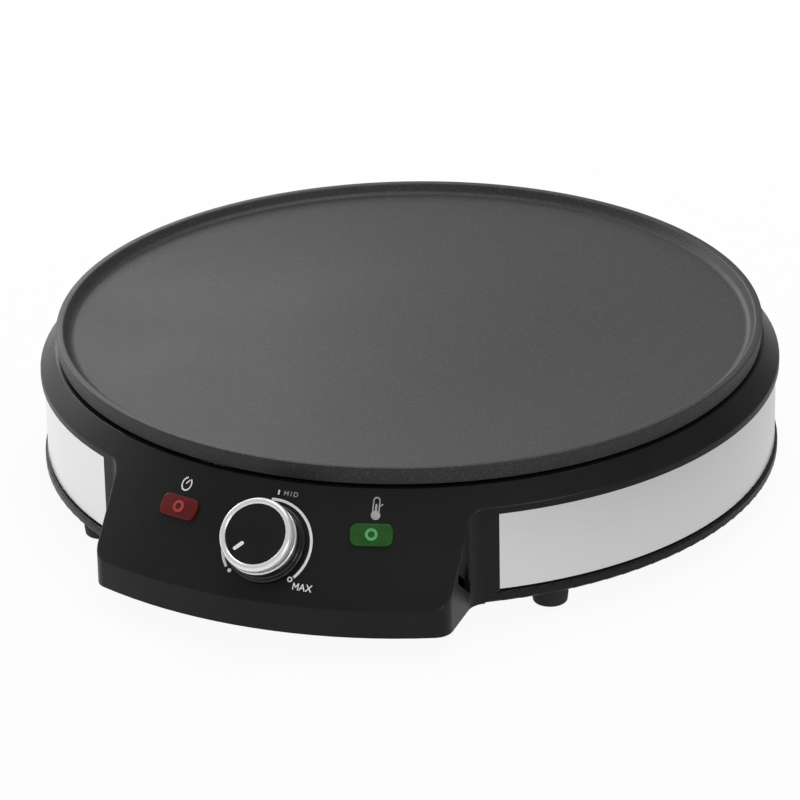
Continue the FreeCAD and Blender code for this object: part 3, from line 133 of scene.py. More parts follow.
def arc_mesh(radius, width, height, from_deg, to_deg, squash=1.0):
    """Printed stroke along an arc, from one angle to another against the clock."""
    bm = bmesh.new()
    a = bm.verts.new(((radius - width / 2) * MM, 0, 0))
    b = bm.verts.new(((radius + width / 2) * MM, 0, 0))
    bm.edges.new((a, b))
    turn_all(bm, math.radians(from_deg))
    sweep = to_deg - from_deg
    spin_all(bm, math.radians(sweep), max(6, int(sweep / ARC_STEP_DEG)))
    bmesh.ops.remove_doubles(bm, verts=bm.verts, dist=MERGE_DIST)
    bmesh.ops.scale(bm, vec=(1, squash, 1), verts=bm.verts)
    thicken(bm, height)
    return bm


def disc_mesh(radius, height, segments=32):
    bm = bmesh.new()
    bmesh.ops.create_circle(bm, cap_ends=True, radius=radius * MM, segments=segments)
    thicken(bm, height)
    return bm


def shift(bm, x=0.0, y=0.0, z=0.0, turn_deg=0.0):
    """Turns a mesh about Z, then moves it, in millimetres."""
    turn_all(bm, math.radians(turn_deg))
    bmesh.ops.translate(bm, vec=(x * MM, y * MM, z * MM), verts=bm.verts)
    return bm


def join(parts):
    """Puts several meshes into one."""
    whole = bmesh.new()
    for part in parts:
        mesh = bpy.data.meshes.new("join")
        part.to_mesh(mesh)
        part.free()
        whole.from_mesh(mesh)
        bpy.data.meshes.remove(mesh)
    return whole


def panel_frame(angle_deg, r):
    """Matrix of a place on the cone: X along the panel, Y uphill, Z out of it."""
    a = math.radians(angle_deg)
    out = Vector((math.sin(a), -math.cos(a), 0))
    along = Vector((math.cos(a), math.sin(a), 0))
    uphill = Vector((0, 0, NORMAL_R)) - out * NORMAL_Z
    normal = out * NORMAL_R + Vector((0, 0, NORMAL_Z))
    spot = AXIS + out * (r * MM) + Vector((0, 0, cone_height(r) * MM))
    turned = Matrix((along, uphill, normal)).transposed().to_4x4()
    return Matrix.Translation(spot) @ turned


def cone_height(r):
    return LIP_Z - (r - LIP_R) * CONE_DROP


def on_panel(bm, angle_deg, r, lift=0.0):
    """Sets a piece on the cone as a rigid body."""
    shift(bm, z=lift)
    bmesh.ops.transform(bm, matrix=panel_frame(angle_deg, r), verts=bm.verts)
    return bm


def printed_on_panel(bm, angle_deg, r, lift=0.0):
    """Lays a flat print on the cone, so that each point keeps its height above the curved wall."""
    long_edges = [e for e in bm.edges if e.calc_length() > PRINT_MESH_STEP * MM]
    bmesh.ops.subdivide_edges(bm, edges=long_edges, cuts=2, use_grid_fill=True)
    place = panel_frame(angle_deg, r)
    normal = (place.to_3x3() @ Vector((0, 0, 1))).normalized()
    for vert in bm.verts:
        height = vert.co.z + lift * MM
        point = place @ Vector((vert.co.x, vert.co.y, 0))
        for _ in range(PRINT_PASSES):
            reach = (point - AXIS).to_2d().length / MM
            point -= normal * ((point.z / MM - cone_height(reach)) * NORMAL_Z * MM)
        vert.co = point + normal * height
    bmesh.ops.recalc_face_normals(bm, faces=bm.faces)
    return bm


def on_axis(bm):
    bmesh.ops.translate(bm, vec=AXIS, verts=bm.verts)
    return bm


def piece(name, bm, finish, body="root", replaces=(), sharp_deg=32):
    """Makes the object of a finished mesh, with soft and hard edges, and hands it to its body."""
    limit = math.radians(sharp_deg)
    for face in bm.faces:
        face.smooth = True
    for edge in bm.edges:
        edge.smooth = not (len(edge.link_faces) == 2 and edge.calc_face_angle() > limit)
    mesh = bpy.data.meshes.new(name)
    bm.to_mesh(mesh)
    bm.free()
    mesh.materials.append(finish)
    obj = bpy.data.objects.new(name, mesh)
    bpy.context.scene.collection.objects.link(obj)
    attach(obj, body)
    if replaces:
        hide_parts(*replaces)
    return obj


# Node groups

def new_group(name, numbers, outputs):
    """Empty node group, with its entry and exit."""
    group = bpy.data.node_groups.new(name, "ShaderNodeTree")
    for label, value in numbers:
        socket = group.interface.new_socket(name=label, in_out="INPUT", socket_type="NodeSocketFloat")
        socket.default_value = value
    for label in outputs:
        group.interface.new_socket(name=label, in_out="OUTPUT", socket_type="NodeSocketFloat")
    return group, group.nodes.new("NodeGroupInput"), group.nodes.new("NodeGroupOutput")


def noise(tree, vector, scale, detail=3.0, rough=0.55):
    node = tree.nodes.new("ShaderNodeTexNoise")
    node.inputs["Detail"].default_value = detail
    node.inputs["Roughness"].default_value = rough
    tree.links.new(vector, node.inputs["Vector"])
    if isinstance(scale, (int, float)):
        node.inputs["Scale"].default_value = scale
    else:
        tree.links.new(scale, node.inputs["Scale"])
    return node.outputs["Fac"]


def sums(tree, operation, a, b=None, c=None):
    """Math node: each of its values is a number or a socket."""
    node = tree.nodes.new("ShaderNodeMath")
    node.operation = operation
    for socket, value in zip(node.inputs, (a, b, c)):
        if value is None:
            continue
        if isinstance(value, (int, float)):
            socket.default_value = value
        else:
            tree.links.new(value, socket)
    return node.outputs[0]


def highest(tree, first, *others):
    """Largest of several values."""
    for other in others:
        first = sums(tree, "MAXIMUM", first, other)
    return first


def spread(tree, value, lo, hi, to_lo=0.0, to_hi=1.0):
    """Soft step of a value, from one level to another."""
    node = tree.nodes.new("ShaderNodeMapRange")
    node.interpolation_type = "SMOOTHSTEP"
    for socket, number in zip(node.inputs[1:5], (lo, hi, to_lo, to_hi)):
        socket.default_value = number
    tree.links.new(value, node.inputs[0])
    return node.outputs[0]


def moulded_group():
    """Grain of a moulded or cast surface: a fine height, a broad tone and soft handling marks."""
    group, entry, leave = new_group("moulded_surface", [("Grain", 1400.0), ("Blotch", 30.0)],
                                    ["Height", "Tone", "Marks"])
    where = group.nodes.new("ShaderNodeTexCoord").outputs["Object"]
    fine = noise(group, where, entry.outputs["Grain"], 2.0, 0.5)
    broad = noise(group, where, entry.outputs["Blotch"], 4.0, 0.6)
    rubbed = noise(group, where, sums(group, "MULTIPLY", entry.outputs["Blotch"], 5.0), 5.0, 0.7)
    group.links.new(fine, leave.inputs["Height"])
    group.links.new(spread(group, broad, 0.3, 0.7), leave.inputs["Tone"])
    group.links.new(spread(group, rubbed, 0.58, 0.75), leave.inputs["Marks"])
    return group


def brushed_group():
    """Lines drawn round the plate's axis, as on rolled steel: a height and a tone."""
    group, entry, leave = new_group("brushed_round", [("Line density", 2600.0), ("Line length", 6.0)],
                                    ["Height", "Tone"])
    where = group.nodes.new("ShaderNodeTexCoord").outputs["Object"]
    split = group.nodes.new("ShaderNodeSeparateXYZ")
    group.links.new(where, split.inputs[0])
    from_axis = sums(group, "SUBTRACT", split.outputs["Y"], AXIS.y)
    angle = sums(group, "ARCTAN2", split.outputs["X"], from_axis)
    x_squared = sums(group, "MULTIPLY", split.outputs["X"], split.outputs["X"])
    y_squared = sums(group, "MULTIPLY", from_axis, from_axis)
    across = sums(group, "SQRT", sums(group, "ADD", x_squared, y_squared))
    density = entry.outputs["Line density"]
    strip = group.nodes.new("ShaderNodeCombineXYZ")
    group.links.new(sums(group, "MULTIPLY", angle, entry.outputs["Line length"]), strip.inputs["X"])
    group.links.new(sums(group, "MULTIPLY", across, density), strip.inputs["Y"])
    group.links.new(sums(group, "MULTIPLY", split.outputs["Z"], density), strip.inputs["Z"])
    lines = noise(group, strip.outputs[0], 1.0, 4.0, 0.65)
    group.links.new(lines, leave.inputs["Height"])
    group.links.new(spread(group, lines, 0.3, 0.7), leave.inputs["Tone"])
    return group


def speckle_group():
    """Fine flecks of a sprayed non-stick coating: a height, the flecks and a slow tone."""
    group, entry, leave = new_group("coating_speckle", [("Fleck density", 1500.0)],
                                    ["Height", "Flecks", "Tone"])
    where = group.nodes.new("ShaderNodeTexCoord").outputs["Object"]
    cells = group.nodes.new("ShaderNodeTexVoronoi")
    group.links.new(where, cells.inputs["Vector"])
    group.links.new(entry.outputs["Fleck density"], cells.inputs["Scale"])
    chosen = group.nodes.new("ShaderNodeSeparateColor")
    group.links.new(cells.outputs["Color"], chosen.inputs[0])
    near = spread(group, cells.outputs["Distance"], 0.15, 0.55, 1.0, 0.0)
    flecks = sums(group, "MULTIPLY", near, spread(group, chosen.outputs["Red"], 0.55, 0.9))
    orange = noise(group, where, sums(group, "MULTIPLY", entry.outputs["Fleck density"], 0.45), 3.0, 0.6)
    slow = noise(group, where, 14.0, 3.0, 0.5)
    raised = sums(group, "MULTIPLY", flecks, 0.35)
    group.links.new(sums(group, "ADD", orange, raised), leave.inputs["Height"])
    group.links.new(flecks, leave.inputs["Flecks"])
    group.links.new(spread(group, slow, 0.25, 0.75), leave.inputs["Tone"])
    return group


MOULDED = moulded_group()
BRUSHED = brushed_group()
SPECKLE = speckle_group()


# Materials

def grey(level):
    return (level, level, level)


def add_group(tree, group, **numbers):
    node = tree.nodes.new("ShaderNodeGroup")
    node.node_tree = group
    for label, value in numbers.items():
        node.inputs[label.replace("_", " ")].default_value = value
    return node


def mix_colours(tree, factor, first, second):
    """Colour between two others, each of them numbers or a socket."""
    node = tree.nodes.new("ShaderNodeMix")
    node.data_type = "RGBA"
    tree.links.new(factor, node.inputs[0])
    for socket, colour in ((node.inputs[6], first), (node.inputs[7], second)):
        if isinstance(colour, tuple):
            socket.default_value = (*colour, 1.0)
        else:
            tree.links.new(colour, socket)
    return node.outputs[2]


def bump(tree, shader, height, strength, depth_mm):
    node = tree.nodes.new("ShaderNodeBump")
    node.inputs["Strength"].default_value = strength
    node.inputs["Distance"].default_value = depth_mm * MM
    tree.links.new(height, node.inputs["Height"])
    tree.links.new(node.outputs[0], shader.inputs["Normal"])


def skin_inputs(tree, shader, colour, mask, gain, rough):
    """Sets a varying colour, and a roughness that a mask raises."""
    tree.links.new(colour, shader.inputs["Base Color"])
    tree.links.new(sums(tree, "MULTIPLY_ADD", mask, gain, rough), shader.inputs["Roughness"])


def start_material(name, metallic=0.0, specular=0.5, coat=0.0, coat_rough=0.1):
    material = bpy.data.materials.new(name)
    material.use_nodes = True
    tree = material.node_tree
    shader = tree.nodes["Principled BSDF"]
    shader.inputs["Metallic"].default_value = metallic
    shader.inputs["Specular IOR Level"].default_value = specular
    shader.inputs["Coat Weight"].default_value = coat
    shader.inputs["Coat Roughness"].default_value = coat_rough
    return material, tree, shader


def moulded(name, colour, other, rough, rough_marks, grain=1400.0, blotch=30.0, strength=0.3,
            depth_mm=0.02, **shader_values):
    """Plastic, rubber, ceramic or plain metal with moulded grain and soft handling marks."""
    material, tree, shader = start_material(name, **shader_values)
    skin = add_group(tree, MOULDED, Grain=grain, Blotch=blotch)
    mixed = mix_colours(tree, skin.outputs["Tone"], colour, other)
    skin_inputs(tree, shader, mixed, skin.outputs["Marks"], rough_marks, rough)
    bump(tree, shader, skin.outputs["Height"], strength, depth_mm)
    return material


def brushed(name, colour, other, rough, rough_lines, density, length, strength, depth_mm):
    """Rolled steel with fine lines round the plate's axis."""
    material, tree, shader = start_material(name, metallic=1.0)
    lines = add_group(tree, BRUSHED, Line_density=density, Line_length=length)
    mixed = mix_colours(tree, lines.outputs["Tone"], colour, other)
    skin_inputs(tree, shader, mixed, lines.outputs["Tone"], rough_lines, rough)
    bump(tree, shader, lines.outputs["Height"], strength, depth_mm)
    return material


COATING_DARK = (0.024, 0.0243, 0.0247)
COATING_PALE = (0.029, 0.0293, 0.0298)
COATING_FLECK = (0.080, 0.081, 0.082)
LENS_HAZE_DEPTH = 1.5


def coating(name):
    """Dark non-stick coating of the baking plate."""
    material, tree, shader = start_material(name, specular=0.30)
    skin = add_group(tree, SPECKLE, Fleck_density=1500.0)
    ground = mix_colours(tree, skin.outputs["Tone"], COATING_DARK, COATING_PALE)
    dotted = mix_colours(tree, skin.outputs["Flecks"], ground, COATING_FLECK)
    skin_inputs(tree, shader, dotted, skin.outputs["Tone"], 0.06, 0.44)
    bump(tree, shader, skin.outputs["Height"], 0.35, 0.03)
    return material


def tinted_lens(name, colour, deep, glow):
    """Coloured clear plastic of a lamp window, hazy below its surface, with a faint painted glow."""
    material, tree, shader = start_material(name, specular=0.22, coat=0.10, coat_rough=0.12)
    skin = add_group(tree, MOULDED, Grain=900.0, Blotch=160.0)
    mixed = mix_colours(tree, skin.outputs["Tone"], colour, deep)
    skin_inputs(tree, shader, mixed, skin.outputs["Marks"], 0.12, 0.24)
    shader.inputs["Subsurface Weight"].default_value = 0.25
    shader.inputs["Subsurface Radius"].default_value = (1.0, 1.0, 1.0)
    shader.inputs["Subsurface Scale"].default_value = LENS_HAZE_DEPTH * MM
    bump(tree, shader, skin.outputs["Height"], 0.08, 0.02)
    # Painted glow: the window gives off a faint light in its own colour, though no lamp inside it is lit.
    painted_glow_colour = mix_colours(tree, skin.outputs["Tone"], glow, colour)
    tree.links.new(painted_glow_colour, shader.inputs["Emission Color"])
    shader.inputs["Emission Strength"].default_value = 0.06
    return material


FINISHES = {
    "coated_plate": coating("coated_plate_finish"),
    "black_housing": moulded("housing_plastic", (0.0075, 0.0078, 0.0080), (0.0105, 0.0108, 0.0110),
                             0.36, 0.10, grain=1500.0, blotch=26.0, strength=0.30, depth_mm=0.016,
                             specular=0.19),
    "band_steel": brushed("band_brushed_steel", (0.745, 0.745, 0.745), (0.770, 0.770, 0.768),
                          0.22, 0.05, 2400.0, 5.0, strength=0.07, depth_mm=0.006),
    "tray_plastic": moulded("tray_plastic", (0.010, 0.010, 0.011), (0.015, 0.015, 0.016), 0.52, 0.14,
                            grain=1000.0, strength=0.4, depth_mm=0.02, specular=0.4),
    "foot_rubber": moulded("foot_rubber", (0.012, 0.012, 0.012), (0.022, 0.022, 0.021), 0.68, 0.15,
                           grain=1800.0, blotch=90.0, strength=0.5, depth_mm=0.03, specular=0.3),
    "knob_plastic": moulded("knob_gloss_plastic", (0.008, 0.008, 0.009), (0.012, 0.012, 0.013), 0.16, 0.08,
                            grain=2400.0, blotch=60.0, strength=0.12, depth_mm=0.01),
    "knob_chrome": moulded("knob_bright_plating", (0.90, 0.90, 0.91), (0.95, 0.95, 0.955), 0.24, 0.06,
                           grain=2600.0, blotch=80.0, strength=0.05, depth_mm=0.008, metallic=0.60),
    "knob_insert": moulded("knob_face_satin", (0.006, 0.006, 0.007), (0.010, 0.010, 0.011),
                           0.30, 0.10, grain=2600.0, blotch=80.0, strength=0.2, depth_mm=0.01,
                           specular=0.22),
    "red_lens": tinted_lens("red_window", (0.125, 0.006, 0.007), (0.100, 0.004, 0.005),
                            (0.30, 0.01, 0.01)),
    "green_lens": tinted_lens("green_window", (0.016, 0.088, 0.012), (0.012, 0.070, 0.010),
                              (0.02, 0.22, 0.03)),
    "element_steel": moulded("element_sheath", (0.20, 0.19, 0.18), (0.30, 0.28, 0.26), 0.36, 0.16,
                             grain=1200.0, blotch=70.0, metallic=1.0),
    "zinc_steel": moulded("zinc_plating", (0.56, 0.57, 0.58), (0.66, 0.66, 0.65), 0.30, 0.18, grain=1600.0,
                          blotch=120.0, strength=0.2, depth_mm=0.01, metallic=1.0),
    "shield_steel": moulded("shield_sheet", (0.60, 0.60, 0.60), (0.68, 0.68, 0.68), 0.34, 0.16,
                            grain=700.0, blotch=22.0, strength=0.2, depth_mm=0.02, metallic=1.0),
    "ceramic": moulded("white_ceramic", (0.74, 0.72, 0.67), (0.80, 0.79, 0.75), 0.42, 0.2, grain=1400.0,
                       blotch=150.0, strength=0.35, depth_mm=0.02),
    "copper": moulded("copper_tube", (0.72, 0.38, 0.24), (0.80, 0.46, 0.31), 0.26, 0.2, grain=1500.0,
                      blotch=120.0, strength=0.15, depth_mm=0.01, metallic=1.0),
    "nylon": moulded("natural_nylon", (0.68, 0.66, 0.60), (0.74, 0.73, 0.68), 0.44, 0.12, grain=1500.0,
                     blotch=90.0, strength=0.2, depth_mm=0.015),
    "lamp_glass": moulded("neon_lamp_glass", (0.62, 0.60, 0.57), (0.72, 0.71, 0.69), 0.10, 0.08,
                          grain=1800.0, blotch=200.0, strength=0.08, depth_mm=0.01, coat=0.5),
    "live_wire": moulded("brown_insulation", (0.13, 0.050, 0.022), (0.17, 0.066, 0.030), 0.44, 0.12,
                         blotch=140.0, strength=0.15, depth_mm=0.01),
    "neutral_wire": moulded("blue_insulation", (0.020, 0.075, 0.34), (0.030, 0.095, 0.40), 0.44, 0.12,
                            blotch=140.0, strength=0.15, depth_mm=0.01),
    "heater_wire": moulded("white_sleeving", (0.70, 0.69, 0.66), (0.78, 0.77, 0.74), 0.58, 0.12,
                           grain=2200.0, blotch=140.0, strength=0.5, depth_mm=0.03),
    "earth_wire": moulded("green_insulation", (0.040, 0.24, 0.035), (0.060, 0.30, 0.045), 0.44, 0.12,
                          blotch=140.0, strength=0.15, depth_mm=0.01),
    "gland_rubber": moulded("gland_rubber", (0.010, 0.010, 0.010), (0.017, 0.017, 0.017), 0.60, 0.14,
                            grain=1600.0, blotch=80.0, strength=0.4, depth_mm=0.02, specular=0.35),
}
PRINT_WHITE = moulded("white_print", (0.93, 0.93, 0.92), (0.97, 0.97, 0.96), 0.50, 0.12, grain=2400.0,
                      blotch=300.0, strength=0.2, depth_mm=0.005)
PRINT_GREY = moulded("grey_print", (0.36, 0.36, 0.35), (0.44, 0.44, 0.43), 0.52, 0.12, grain=2400.0,
                     blotch=300.0, strength=0.2, depth_mm=0.005)
# Lighter rings in the middle of the windows, with a stronger painted glow.
RED_CORE = tinted_lens("red_core", (0.36, 0.032, 0.034), (0.46, 0.06, 0.06), (0.80, 0.08, 0.08))
GREEN_CORE = tinted_lens("green_core", (0.085, 0.34, 0.12), (0.12, 0.42, 0.17), (0.10, 0.70, 0.20))


# CAD nodes: each keeps its shape, is shaded smooth up to its edges, and gets its finish

NODE_WELD_DIST = 1e-6
NODE_EDGE_DEG = 24
NODE_NORMAL_WEIGHT = 100


def dress_node(obj):
    """Gives a CAD node its finishes, and soft shading between its edges."""
    for index, old in enumerate(obj.data.materials):
        if old is None:
            continue
        slot = old.name.split(".")[0]
        if slot in FINISHES:
            obj.data.materials[index] = FINISHES[slot]
    obj.data.shade_smooth()
    weld = obj.modifiers.new("weld", "WELD")
    weld.merge_threshold = NODE_WELD_DIST
    split = obj.modifiers.new("edges", "EDGE_SPLIT")
    split.split_angle = math.radians(NODE_EDGE_DEG)
    even = obj.modifiers.new("normals", "WEIGHTED_NORMAL")
    even.weight = NODE_NORMAL_WEIGHT
    even.keep_sharp = True


# Baking plate

RIM_LAND = 3.2
RIM_SLOPE = 2.5
RIM_SIDE_H = 7.3
RIM_TAPER = 0.6
DISH_DEPTH = 4.0
PLATE_T = 6.0
PLATE_DISC_INSET = 8.0
LAND_INSET = 0.05
DISH_CORNER = 1.9
RIM_CORNER = 0.55
RIM_BOTTOM_CORNER = 0.35
DISC_CORNER = 0.8
FLAT_R = 60.0
BOSS_R = 6.0
BOSS_CIRCLE_R = 121.0
BOSS_BOTTOM = 45.3
BOSS_SUNK = 0.5
BOSS_CORNER = 0.4


def baking_plate():
    """Plate with its low rim, and the four bosses under it."""
    rim_bottom = PLATE_TOP - RIM_SIDE_H
    dish = PLATE_TOP - DISH_DEPTH
    under = dish - PLATE_T
    disc_r = PLATE_R - PLATE_DISC_INSET
    plate = ring_mesh([
        (0, dish, 0),
        (FLAT_R, dish, 0),
        (PLATE_R - RIM_LAND - RIM_SLOPE, dish, DISH_CORNER),
        (PLATE_R - RIM_LAND, PLATE_TOP, RIM_CORNER),
        (PLATE_R - LAND_INSET, PLATE_TOP, RIM_CORNER),
        (PLATE_R - RIM_TAPER, rim_bottom, RIM_BOTTOM_CORNER),
        (disc_r, rim_bottom, 0),
        (disc_r, under, DISC_CORNER),
        (0, under, 0),
    ], steps=288)
    parts = [plate]
    for boss_deg in (45, 135, 225, 315):
        boss = ring_mesh([
            (0, under + BOSS_SUNK, 0),
            (BOSS_R, under + BOSS_SUNK, 0),
            (BOSS_R, BOSS_BOTTOM, BOSS_CORNER),
            (0, BOSS_BOTTOM, 0),
        ], steps=40)
        a = math.radians(boss_deg)
        parts.append(shift(boss, BOSS_CIRCLE_R * math.sin(a), -BOSS_CIRCLE_R * math.cos(a)))
    piece("baking_plate_cast", on_axis(join(parts)), FINISHES["coated_plate"],
          replaces=["baking_plate"])


# Steel band: one strip with rolled-over edges, open between the panel's two ends

BAND_OUT_R = 155.8
BAND_T = 0.8
BAND_BOTTOM = 13.8
BAND_TOP = 48.1
BAND_HALF_ANGLE = 33.1
BAND_EDGE_R = 0.36


def steel_band():
    open_angle = math.radians(BAND_HALF_ANGLE)
    inner = BAND_OUT_R - BAND_T
    middle = BAND_OUT_R - BAND_T / 2
    strip = ring_mesh([
        (middle, BAND_BOTTOM, 0),
        (BAND_OUT_R, BAND_BOTTOM, BAND_EDGE_R),
        (BAND_OUT_R, BAND_TOP, BAND_EDGE_R),
        (inner, BAND_TOP, BAND_EDGE_R),
        (inner, BAND_BOTTOM, BAND_EDGE_R),
        (middle, BAND_BOTTOM, 0),
    ], steps=240, turn=FULL_TURN - 2 * open_angle, start=-math.pi / 2 + open_angle)
    ends = [e for e in strip.edges if e.is_boundary]
    bmesh.ops.holes_fill(strip, edges=ends, sides=0)
    close_up(strip)
    piece("steel_band_strip", on_axis(strip), FINISHES["band_steel"], replaces=["steel_band"])


# Knob

KNOB_GAP = 0.6
KNOB_BASE_H = 1.6
KNOB_TOP = 15.4
KNOB_STEP = 11.6
KNOB_BORE_R = 3.2
KNOB_HOLLOW = 0.2
KNOB_BASE_R = 16.4
KNOB_BASE_CORNER = 0.6
KNOB_WAIST_R = 14.6
KNOB_RING_R = 15.2
KNOB_CHAMFER = 1.0
KNOB_RIDGE_FROM = 8.0
KNOB_RIDGE_TO = 9.5
KNOB_RIDGE_CORNER = 0.5
KNOB_LAP = 0.05
KNOB_FACE_R = 12.4
KNOB_FACE_T = 2.0
KNOB_FACE_SINK = 0.5
FACE_TOP = KNOB_TOP - KNOB_FACE_SINK
FACE_BOTTOM = FACE_TOP - KNOB_FACE_T
FACE_DIP = 0.12
FACE_CORNER = 0.2
FACE_DIP_EDGE = 1.0
FACE_RIM_W = 0.6
BEZEL_LIP_W = 0.5
BEZEL_LIP_DROP = 0.15
BEZEL_SEAT_DROP = 0.65
KNOB_STEPS = 128
POINTER_ANGLE = 224.5
POINTER_FROM = 5.6
POINTER_TO = 10.6
POINTER_W = 1.5
POINTER_T = 0.14
POINTER_SUNK = 0.13
ROUND_END = 0.49


def knob_piece(name, bm, finish, replaces=()):
    piece(name, on_panel(bm, 0, KNOB_R_FROM_AXIS), finish, body="knob", replaces=replaces)


def knob():
    body = ring_mesh([
        (KNOB_BORE_R, KNOB_GAP + KNOB_HOLLOW, 0),
        (KNOB_BASE_R, KNOB_GAP, 0.3),
        (KNOB_BASE_R, KNOB_GAP + KNOB_BASE_H, KNOB_BASE_CORNER),
        (KNOB_WAIST_R, KNOB_GAP + KNOB_BASE_H, KNOB_BASE_CORNER),
        (KNOB_WAIST_R, KNOB_STEP, 0),
        (KNOB_FACE_R, KNOB_STEP, 0),
        (KNOB_FACE_R, FACE_BOTTOM, 0),
        (0, FACE_BOTTOM, 0),
    ], steps=KNOB_STEPS)
    knob_piece("knob_grip", body, FINISHES["knob_plastic"], replaces=["knob_body"])
    trim = ring_mesh([
        (KNOB_WAIST_R - KNOB_LAP, KNOB_RIDGE_FROM, 0),
        (KNOB_RING_R, KNOB_RIDGE_FROM, KNOB_RIDGE_CORNER),
        (KNOB_RING_R, KNOB_RIDGE_TO, KNOB_RIDGE_CORNER),
        (KNOB_WAIST_R - KNOB_LAP, KNOB_RIDGE_TO, 0),
    ], steps=KNOB_STEPS)
    knob_piece("knob_trim", trim, FINISHES["knob_chrome"])
    bezel = ring_mesh([
        (KNOB_FACE_R + KNOB_LAP, KNOB_STEP, 0),
        (KNOB_RING_R, KNOB_STEP, 0.3),
        (KNOB_RING_R, KNOB_TOP - KNOB_CHAMFER, 0.9),
        (KNOB_RING_R - KNOB_CHAMFER, KNOB_TOP, 0.5),
        (KNOB_FACE_R + BEZEL_LIP_W, KNOB_TOP - BEZEL_LIP_DROP, 0.3),
        (KNOB_FACE_R + KNOB_LAP, KNOB_TOP - BEZEL_SEAT_DROP, 0),
        (KNOB_FACE_R + KNOB_LAP, KNOB_STEP, 0),
    ], steps=KNOB_STEPS)
    knob_piece("knob_bezel", bezel, FINISHES["knob_chrome"], replaces=["knob_ring"])
    face = ring_mesh([
        (0, FACE_TOP - FACE_DIP, 0),
        (KNOB_FACE_R - FACE_DIP_EDGE, FACE_TOP - FACE_DIP, 0.3),
        (KNOB_FACE_R - FACE_RIM_W, FACE_TOP, FACE_CORNER),
        (KNOB_FACE_R, FACE_TOP, FACE_CORNER),
        (KNOB_FACE_R, FACE_BOTTOM, 0),
        (0, FACE_BOTTOM, 0),
    ], steps=KNOB_STEPS)
    knob_piece("knob_dial", face, FINISHES["knob_insert"], replaces=["knob_face"])
    middle = (POINTER_FROM + POINTER_TO) / 2
    a = math.radians(POINTER_ANGLE)
    bar = bar_mesh(POINTER_TO - POINTER_FROM, POINTER_W, POINTER_T, POINTER_W * ROUND_END)
    shift(bar, turn_deg=POINTER_ANGLE)
    shift(bar, middle * math.cos(a), middle * math.sin(a), FACE_TOP - POINTER_SUNK)
    knob_piece("knob_pointer", bar, PRINT_WHITE)


# Printed scale round the knob

PRINT_T = 0.05
PRINT_LIFT = 0.01
SCALE_R = 18.5
SCALE_W = 1.1
SCALE_END_X = 12.9
SCALE_END_Y = -12.8
SCALE_DOT_R = 0.85


def printed(name, parts, angle_deg, r, finish):
    piece(name, printed_on_panel(join(parts), angle_deg, r, PRINT_LIFT), finish)


def stroke(x0, y0, x1, y1, width):
    """Straight printed stroke between two points."""
    length = math.hypot(x1 - x0, y1 - y0)
    bar = bar_mesh(length + width, width, PRINT_T, width * ROUND_END, segments=4)
    angle = math.degrees(math.atan2(y1 - y0, x1 - x0))
    shift(bar, turn_deg=angle)
    return shift(bar, (x0 + x1) / 2, (y0 + y1) / 2)


def knob_scale():
    marks = [
        arc_mesh(SCALE_R, SCALE_W, PRINT_T, -39.5, 96.0),
        arc_mesh(SCALE_R, SCALE_W, PRINT_T, 140.0, 218.0),
        shift(disc_mesh(SCALE_DOT_R, PRINT_T), -SCALE_END_X, SCALE_END_Y),
        shift(arc_mesh(SCALE_DOT_R, 0.5, PRINT_T, 0, 360), SCALE_END_X, SCALE_END_Y),
        stroke(0.4, 20.9, 0.4, 22.3, 0.7),
    ]
    printed("knob_scale_print", marks, 0, KNOB_R_FROM_AXIS, PRINT_WHITE)


# Strokes of the capitals in a square of one by one, each from (x, y) to (x, y)
LETTERS = {
    "M": [(0, 0, 0, 1), (0, 1, 0.5, 0.35), (0.5, 0.35, 1, 1), (1, 1, 1, 0)],
    "A": [(0, 0, 0.5, 1), (0.5, 1, 1, 0), (0.22, 0.36, 0.78, 0.36)],
    "X": [(0, 0, 1, 1), (0, 1, 1, 0)],
    "I": [(0.5, 0, 0.5, 1)],
    "D": [(0, 0, 0, 1), (0, 1, 0.6, 1), (0.6, 1, 1, 0.7), (1, 0.7, 1, 0.3), (1, 0.3, 0.6, 0),
          (0.6, 0, 0, 0)],
}


def word(text, x, y, width, height, gap, weight):
    """Generic lettering in straight strokes, centred on a point."""
    total = len(text) * width + (len(text) - 1) * gap
    base = y - height / 2
    strokes = []
    for i, letter in enumerate(text):
        left = x - total / 2 + i * (width + gap)
        strokes += [stroke(left + a * width, base + b * height, left + c * width, base + d * height, weight)
                    for a, b, c, d in LETTERS[letter]]
    return strokes


def scale_words():
    highest_mark = word("MAX", 18.6, -15.2, 2.0, 2.6, 0.7, 0.42)
    printed("max_mark_print", highest_mark, 0, KNOB_R_FROM_AXIS, PRINT_WHITE)
    middle_mark = word("MID", 5.6, 21.6, 1.5, 1.7, 0.5, 0.32)
    printed("mid_mark_print", middle_mark, 0, KNOB_R_FROM_AXIS, PRINT_GREY)


# Lamp windows

LENS_W = 17.2
LENS_H = 9.2
LENS_CORNER = 3.0
LENS_PROUD = 1.2
LENS_SUNK = 2.2
LENS_EDGE_R = 0.55
LENS_TOP_MARGIN = 0.1
LENS_SHARP_DEG = 50
CORE_FROM_R = 1.35
CORE_TO_R = 2.55
CORE_T = 0.22
CORE_CORNER = 0.15
CORE_SUNK = 0.02


